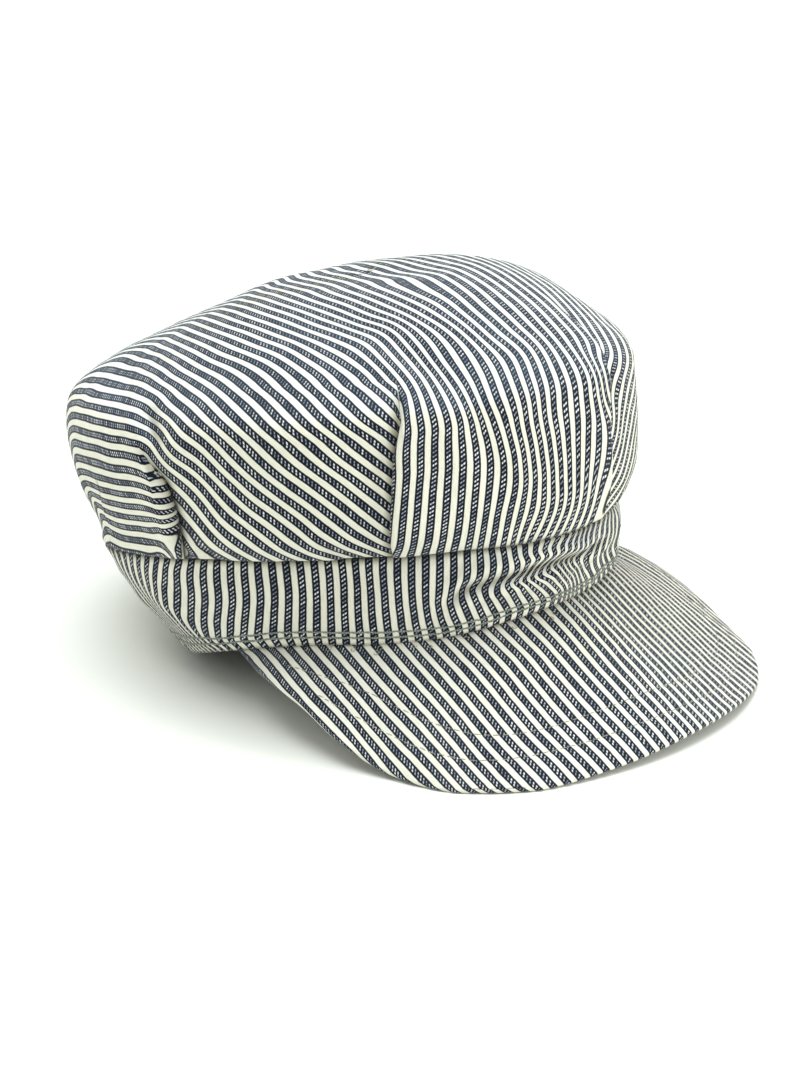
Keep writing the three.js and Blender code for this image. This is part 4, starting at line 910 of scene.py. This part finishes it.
# ------------------------------------------------------------------ threads
def thread_run(path, nrm, length, gap, radius, sink, seed):
    """Rounded threads laid end to end along a path of points."""
    s = np.concatenate([[0], np.cumsum(np.linalg.norm(np.diff(path, axis=0), axis=1))])
    rng = np.random.default_rng(seed)
    out, pos = [], 0.3
    a = np.linspace(0, 1, 7)
    while pos + length * 1.2 < s[-1]:
        ln = length * (1 + 0.08 * rng.normal())
        pts = np.stack([np.interp(pos + a * ln, s, path[:, c]) for c in range(3)], -1)
        nn = np.stack([np.interp(pos + a * ln, s, nrm[:, c]) for c in range(3)], -1)
        nn /= np.linalg.norm(nn, axis=1)[:, None]
        tg = np.gradient(pts, axis=0)
        tg /= np.linalg.norm(tg, axis=1)[:, None]
        bn = np.cross(tg, nn)
        lift = np.sin(math.pi * a) ** 0.5 * radius * 1.3 - sink
        pts = pts + nn * lift[:, None] + bn * (0.06 * rng.normal() + (a[:, None] - 0.5) * 0.12 * rng.normal())
        out.append((pts, nn, bn, radius * np.array([0.55, 0.9, 1, 1.02, 1, 0.9, 0.55]) * (1 + 0.06 * rng.normal())))
        pos += ln + gap
    return out

def curl(centre, nn, tg, size, seed):
    """A loose thread end that loops back on itself."""
    rng = np.random.default_rng(seed)
    bn = np.cross(nn, tg)
    a = np.linspace(0, 1, 9) * (4.2 + rng.random() * 1.6) + rng.random() * 6
    rr = size * np.linspace(0.6, 1.1, 9)
    pts = centre + np.cos(a)[:, None] * rr[:, None] * tg + np.sin(a)[:, None] * rr[:, None] * bn + nn * (0.12 + 0.25 * np.linspace(0, 1, 9))[:, None]
    t = np.gradient(pts, axis=0)
    t /= np.linalg.norm(t, axis=1)[:, None]
    n2 = np.repeat(nn[None], 9, 0)
    b2 = np.cross(t, n2)
    return pts, n2, b2, np.full(9, 0.11)

def thread_object(name, runs, material):
    V, F, U, n, M = [], [], [], 0, 6
    ang = np.arange(M) / M * 2 * math.pi
    for pts, nn, bn, rk in runs:
        k = len(pts)
        ring = pts[:, None] + rk[:, None, None] * (np.cos(ang)[None, :, None] * bn[:, None] + np.sin(ang)[None, :, None] * nn[:, None])
        V.append(ring.reshape(-1, 3))
        lng = np.concatenate([[0], np.cumsum(np.linalg.norm(np.diff(pts, axis=0), axis=1))])
        U.append(np.stack([np.repeat(lng[:, None], M, 1), np.repeat((ang / (2 * math.pi))[None], k, 0)], -1).reshape(-1, 2))
        j, i = np.meshgrid(np.arange(k - 1), np.arange(M), indexing="ij")
        F.append(n + np.stack([j * M + i, j * M + (i + 1) % M, (j + 1) * M + (i + 1) % M, (j + 1) * M + i], -1).reshape(-1, 4))
        e = (k - 1) * M
        F.append(n + np.array([[3, 2, 1, 0], [5, 4, 3, 0], [e, e + 1, e + 2, e + 3], [e, e + 3, e + 4, e + 5]]))
        n += k * M
    return new_object(name, np.concatenate(V), np.concatenate(F), np.concatenate(U), material)

def band_threads(which, seed):
    turn = np.linspace(-179.9, 179.9, 1600)
    P, N = band_point(turn, stitch_row(turn, which))
    return thread_run(P, N, 3.1, -0.45, 0.34, 0.12, seed)

def peak_threads(s, seed):
    A = np.linspace(s["across"][0], s["across"][-1], 700)
    line = np.interp(A, s["across"], s["deep"])
    line = np.convolve(np.pad(line, 30, mode="edge"), np.ones(61) / 61, mode="valid")
    up, low, N = peak_point(A, line)
    return thread_run(up, N, 2.7, 0.5, 0.16, 0.10, seed)

def peak_curls():
    rng = np.random.default_rng(77)
    out = []
    for A in np.concatenate([np.linspace(0.13, 0.5, 12), np.linspace(0.55, 0.9, 5)]):
        A = A + 0.012 * rng.normal()
        D = 0.05 + 0.05 * rng.random()
        up, low, N = peak_point(np.array([A, A + 0.004]), np.array([D, D]))
        tg = up[1] - up[0]
        tg /= np.linalg.norm(tg)
        out.append(curl(up[0], N[0], tg, 0.7 + 0.4 * rng.random(), int(rng.integers(1e6))))
    return out

# ------------------------------------------------------------------ materials
class Nodes:
    def __init__(self, name):
        self.mat = bpy.data.materials.new(name)
        self.mat.use_nodes = True
        self.t = self.mat.node_tree
        self.t.nodes.clear()
        self.out = self.t.nodes.new("ShaderNodeOutputMaterial")
        self.bsdf = self.t.nodes.new("ShaderNodeBsdfPrincipled")
        self.t.links.new(self.bsdf.outputs[0], self.out.inputs[0])
    def put(self, socket, v):
        if hasattr(v, "is_linked") or isinstance(v, bpy.types.NodeSocket):
            self.t.links.new(v, socket)
        else:
            socket.default_value = v
    def m(self, op, a, b=None, c=None, clamp=False):
        n = self.t.nodes.new("ShaderNodeMath")
        n.operation = op
        n.use_clamp = clamp
        for i, v in enumerate((a, b, c)):
            if v is not None:
                self.put(n.inputs[i], v)
        return n.outputs[0]
    def ramp(self, v, lo, hi, to_lo=0.0, to_hi=1.0, kind="SMOOTHSTEP"):
        n = self.t.nodes.new("ShaderNodeMapRange")
        n.interpolation_type = kind
        for i, x in enumerate((v, lo, hi, to_lo, to_hi)):
            self.put(n.inputs[i], x)
        return n.outputs[0]
    def vec(self, x, y, z=0.0):
        n = self.t.nodes.new("ShaderNodeCombineXYZ")
        for i, v in enumerate((x, y, z)):
            self.put(n.inputs[i], v)
        return n.outputs[0]
    def noise(self, vector, scale, detail=2.0, rough=0.5):
        n = self.t.nodes.new("ShaderNodeTexNoise")
        self.put(n.inputs["Vector"], vector)
        n.inputs["Scale"].default_value = scale
        n.inputs["Detail"].default_value = detail
        n.inputs["Roughness"].default_value = rough
        return n.outputs["Fac"] if "Fac" in n.outputs else n.outputs[0]
    def mix(self, fac, a, b):
        n = self.t.nodes.new("ShaderNodeMix")
        n.data_type = "RGBA"
        self.put(n.inputs[0], fac)
        for k, v in ((6, a), (7, b)):
            self.put(n.inputs[k], v)
        return n.outputs[2]
    def uv(self):
        n = self.t.nodes.new("ShaderNodeUVMap")
        n.uv_map = "cloth"
        s = self.t.nodes.new("ShaderNodeSeparateXYZ")
        self.t.links.new(n.outputs[0], s.inputs[0])
        return s.outputs[0], s.outputs[1]
    def number(self, name):
        n = self.t.nodes.new("ShaderNodeAttribute")
        n.attribute_name = name
        return n.outputs["Fac"]
    def place(self):
        n = self.t.nodes.new("ShaderNodeTexCoord")
        return n.outputs["Object"]
    def bump(self, height, distance, strength=1.0, normal=None):
        n = self.t.nodes.new("ShaderNodeBump")
        n.inputs["Strength"].default_value = strength
        n.inputs["Distance"].default_value = distance
        self.put(n.inputs["Height"], height)
        if normal is not None:
            self.put(n.inputs["Normal"], normal)
        return n.outputs[0]

def colour(h, a=1.0):
    v = [int(h[i:i + 2], 16) / 255 for i in (1, 3, 5)]
    return [x / 12.92 if x <= 0.04045 else ((x + 0.055) / 1.055) ** 2.4 for x in v] + [a]

NAVY_HALF = 0.286      # half of a navy stripe's width, in pitches
DASH = 1.42            # spacing of the light dashes along a stripe, mm

def stripe_cloth(name):
    k = Nodes(name)
    x, y = k.uv()
    u = k.m("MULTIPLY", x, 1000 / PITCH)
    v = k.m("MULTIPLY", y, 1000.0)
    index = k.m("FLOOR", u)
    f = k.m("SUBTRACT", k.m("SUBTRACT", u, index), 0.5)
    # yarn irregularity along each stripe
    wob = k.noise(k.vec(k.m("MULTIPLY", index, 3.71), k.m("MULTIPLY", v, 0.9), 0.3), 1.0, 2)
    wob = k.m("MULTIPLY", k.m("SUBTRACT", wob, 0.5), 0.035)
    off = k.m("ADD", k.m("ABSOLUTE", f), wob)
    # stepped twill edge of a stripe
    step = k.m("PINGPONG", k.m("ADD", v, k.m("MULTIPLY", f, 1.5)), DASH / 4)
    off = k.m("ADD", off, k.m("MULTIPLY", k.m("SUBTRACT", step, DASH / 8), 0.035))
    navy = k.ramp(off, NAVY_HALF + 0.022, NAVY_HALF - 0.022)
    # light dashes in the middle of the navy stripe, slanted like twill
    rnd = k.m("FRACT", k.m("MULTIPLY", k.m("SINE", k.m("MULTIPLY", index, 12.9898)), 437.58))
    lane = k.m("ADD", k.m("DIVIDE", v, DASH), k.m("ADD", k.m("MULTIPLY", f, -PITCH * 0.62 / DASH), rnd))
    cell = k.m("FLOOR", lane)
    t = k.m("ABSOLUTE", k.m("SUBTRACT", k.m("SUBTRACT", lane, cell), 0.5))
    own = k.noise(k.vec(k.m("MULTIPLY", cell, 0.83), k.m("MULTIPLY", index, 5.17), 0.7), 1.0, 0)
    dash_w = k.ramp(own, 0.3, 0.7, 0.14, 0.21, "LINEAR")
    core = k.ramp(off, 0.165, 0.115)
    dash = k.m("MULTIPLY", k.ramp(k.m("SUBTRACT", t, dash_w), 0.05, -0.05), core)
    split = k.ramp(k.m("ABSOLUTE", k.m("ADD", f, k.m("MULTIPLY", k.m("SUBTRACT", own, 0.5), 0.06))), 0.012, 0.05)
    dash = k.m("MULTIPLY", dash, k.m("ADD", 0.15, k.m("MULTIPLY", split, 0.85)))
    dash_on = k.ramp(own, 0.25, 0.6, 0.62, 1.0, "LINEAR")
    dash = k.m("MULTIPLY", dash, dash_on)
    # fine twill of the ground cloth
    fine = k.m("SINE", k.m("MULTIPLY", k.m("ADD", v, k.m("MULTIPLY", u, PITCH * 0.7)), 2 * math.pi / 0.60))
    warp = k.m("SINE", k.m("MULTIPLY", u, 2 * math.pi * PITCH / 0.40))
    slub = k.noise(k.vec(k.m("MULTIPLY", u, PITCH * 1.9), k.m("MULTIPLY", v, 0.22), 0.0), 1.0, 3)
    place = k.place()
    # one noise for faded patches of the navy and for the strength of the painted top glare
    wear_and_top_glare = k.noise(place, 34.0, 3)
    tone = k.noise(place, 9.0, 2)
    twill = k.m("ADD", k.m("MULTIPLY", fine, 0.5), 0.5)
    cream = k.mix(k.ramp(slub, 0.35, 0.7), CREAM_A, CREAM_B)
    cream = k.mix(k.m("MULTIPLY", k.m("SUBTRACT", 1.0, twill), 0.34), cream, CREAM_C)
    # cream next to the navy is a little darker
    rim = k.ramp(off, NAVY_HALF + 0.06, NAVY_HALF + 0.015, 0.0, 0.22)
    cream = k.mix(rim, cream, CREAM_C)
    blue = k.mix(k.ramp(slub, 0.3, 0.75), NAVY_A, NAVY_B)
    blue = k.mix(k.m("MULTIPLY", twill, k.ramp(off, 0.2, 0.1, 0.03, 0.30)), blue, NAVY_C)
    blue = k.mix(k.m("MULTIPLY", k.ramp(wear_and_top_glare, 0.5, 0.75), 0.25), blue, NAVY_C)
    blue = k.mix(dash, blue, k.mix(k.ramp(own, 0.35, 0.65), DASH_A, DASH_B))
    deep = k.number("painted_shade")
    painted_top_light = k.number("painted_top_light")
    # painted highlight: upward-facing cream painted bluish white, navy painted a pale glare
    cream = k.mix(k.m("MULTIPLY", painted_top_light, 0.7), cream, colour("#F3F7F7"))
    blue = k.mix(k.m("MULTIPLY", painted_top_light, k.ramp(wear_and_top_glare, 0.3, 0.7, 0.12, 0.28)), blue, colour("#566878"))
    # painted shade: dark olive on the cream and near black on the navy in creases, seams and under pleats
    cream = k.mix(k.m("MULTIPLY", deep, 0.80), cream, colour("#6E6848"))
    blue = k.mix(k.m("MULTIPLY", deep, 0.70), blue, colour("#05070A"))
    base = k.mix(navy, cream, blue)
    base = k.mix(k.m("MULTIPLY", k.ramp(tone, 0.45, 0.7), 0.05), base, colour("#9A9A80"))
    k.put(k.bsdf.inputs["Base Color"], base)
    rough = k.ramp(slub, 0.2, 0.8, 0.80, 0.95, "LINEAR")
    k.put(k.bsdf.inputs["Roughness"], rough)
    k.bsdf.inputs["Specular IOR Level"].default_value = 0.2
    k.bsdf.inputs["Sheen Weight"].default_value = 0.14
    k.bsdf.inputs["Sheen Roughness"].default_value = 0.45
    k.bsdf.inputs["Sheen Tint"].default_value = (0.93, 0.97, 1.0, 1)
    h = k.m("ADD", k.m("MULTIPLY", fine, 0.10), k.m("MULTIPLY", warp, 0.06))
    h = k.m("ADD", h, k.m("MULTIPLY", dash, 0.45))
    h = k.m("ADD", h, k.m("MULTIPLY", navy, 0.25))
    h = k.m("ADD", h, k.m("MULTIPLY", slub, 0.5))
    k.put(k.bsdf.inputs["Normal"], k.bump(h, 0.00025, 0.8))
    return k.mat

def thread_cloth(name, a, b, dark):
    k = Nodes(name)
    x, y = k.uv()
    ply = k.m("SINE", k.m("MULTIPLY", k.m("ADD", k.m("MULTIPLY", x, 1 / 0.0009), k.m("MULTIPLY", y, 1000.0)), 2 * math.pi))
    ply = k.m("ADD", k.m("MULTIPLY", ply, 0.5), 0.5)
    n = k.noise(k.place(), 900.0, 2)
    base = k.mix(ply, dark, k.mix(k.ramp(n, 0.35, 0.65), a, b))
    k.put(k.bsdf.inputs["Base Color"], base)
    k.put(k.bsdf.inputs["Roughness"], k.ramp(n, 0.2, 0.8, 0.6, 0.8, "LINEAR"))
    k.bsdf.inputs["Sheen Weight"].default_value = 0.2
    k.put(k.bsdf.inputs["Normal"], k.bump(ply, 0.00008, 0.7))
    return k.mat

CREAM_A, CREAM_B, CREAM_C = colour("#EAE9DC"), colour("#F4F3E9"), colour("#C8C4A6")
NAVY_A, NAVY_B, NAVY_C = colour("#070A11"), colour("#0E1424"), colour("#222C40")
DASH_A, DASH_B = colour("#A3AEC2"), colour("#E6EAF0")

crown_mat = stripe_cloth("crown_stripe")
band_mat = stripe_cloth("band_stripe")
peak_mat = stripe_cloth("peak_stripe")
thread_green = thread_cloth("thread_green", colour("#8E968A"), colour("#9DA496"), colour("#626A62"))
thread_tan = thread_cloth("thread_tan", colour("#A8A794"), colour("#BDB9A2"), colour("#77776A"))

crown = build_crown(crown_mat)
band = build_band(band_mat)
peak = build_peak(peak_mat)
band_stitch = thread_object("band_stitches", band_threads(0, 5) + band_threads(1, 6), thread_green)
peak_stitch = thread_object("peak_stitches", peak_threads(PEAK_STITCH[0], 7) + peak_threads(PEAK_STITCH[1], 8), thread_tan)
curls = thread_object("thread_ends", peak_curls(), thread_tan)

for ob, node in ((crown, "crown"), (band, "band"), (peak, "peak")):
    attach(ob, "root")
    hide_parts(node)
for ob, node in ((band_stitch, "band"), (peak_stitch, "peak"), (curls, "band")):
    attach(ob, "root")

# ------------------------------------------------------------------ floor, light, camera
floor_mat = bpy.data.materials.new("floor")
floor_mat.use_nodes = True
fb = floor_mat.node_tree.nodes["Principled BSDF"]
fb.inputs["Base Color"].default_value = (0.93, 0.945, 0.905, 1)
fb.inputs["Roughness"].default_value = 0.9
fb.inputs["Specular IOR Level"].default_value = 0.1
bpy.ops.mesh.primitive_plane_add(size=12, location=(0, 0, -0.0002))
floor = bpy.context.object
floor.name = "floor"
floor.data.materials.append(floor_mat)

world = bpy.data.worlds.new("studio")
bpy.context.scene.world = world
world.use_nodes = True
bg = world.node_tree.nodes["Background"]
bg.inputs["Color"].default_value = (0.97, 0.985, 0.925, 1)
bg.inputs["Strength"].default_value = 0.67

def aim(o, where, at):
    o.location = where
    o.rotation_euler = (Vector(at) - Vector(where)).to_track_quat("-Z", "Y").to_euler()
    bpy.context.collection.objects.link(o)

def area_light(name, where, at, size, power, tint):
    d = bpy.data.lights.new(name, "AREA")
    d.shape = "RECTANGLE"
    d.size, d.size_y = size
    d.energy = power
    d.color = tint
    aim(bpy.data.objects.new(name, d), where, at)

sky = bpy.data.lights.new("overhead", "SUN")
sky.energy = 2.12
sky.angle = math.radians(44)
sky.color = (0.93, 0.97, 1.0)
aim(bpy.data.objects.new("overhead", sky), (-0.06, 0.26, 1.5), (0.0, 0.0, 0.0))
area_light("right_side", (0.60, -1.25, 0.45), (0.0, -0.03, 0.05), (0.7, 0.6), 9.0, (1.0, 1.0, 0.98))
area_light("left_side", (-1.15, 0.55, 0.6), (0.0, 0.03, 0.06), (0.6, 0.6), 0.8, (0.95, 0.98, 1.0))

cam = bpy.data.cameras.new("photo")
cam.lens = 99.73
cam.sensor_width = 36
cam.sensor_fit = "AUTO"
cam_ob = bpy.data.objects.new("photo", cam)
cam_ob.location = (-0.700816, -0.683277, 0.395033)
cam_ob.rotation_euler = (Vector((0.0799155, 0.0706668, 0)) - cam_ob.location).to_track_quat("-Z", "Y").to_euler()
bpy.context.collection.objects.link(cam_ob)
bpy.context.scene.camera = cam_ob
bpy.context.scene.view_settings.view_transform = "Standard"

bpy.context.view_layer.update()
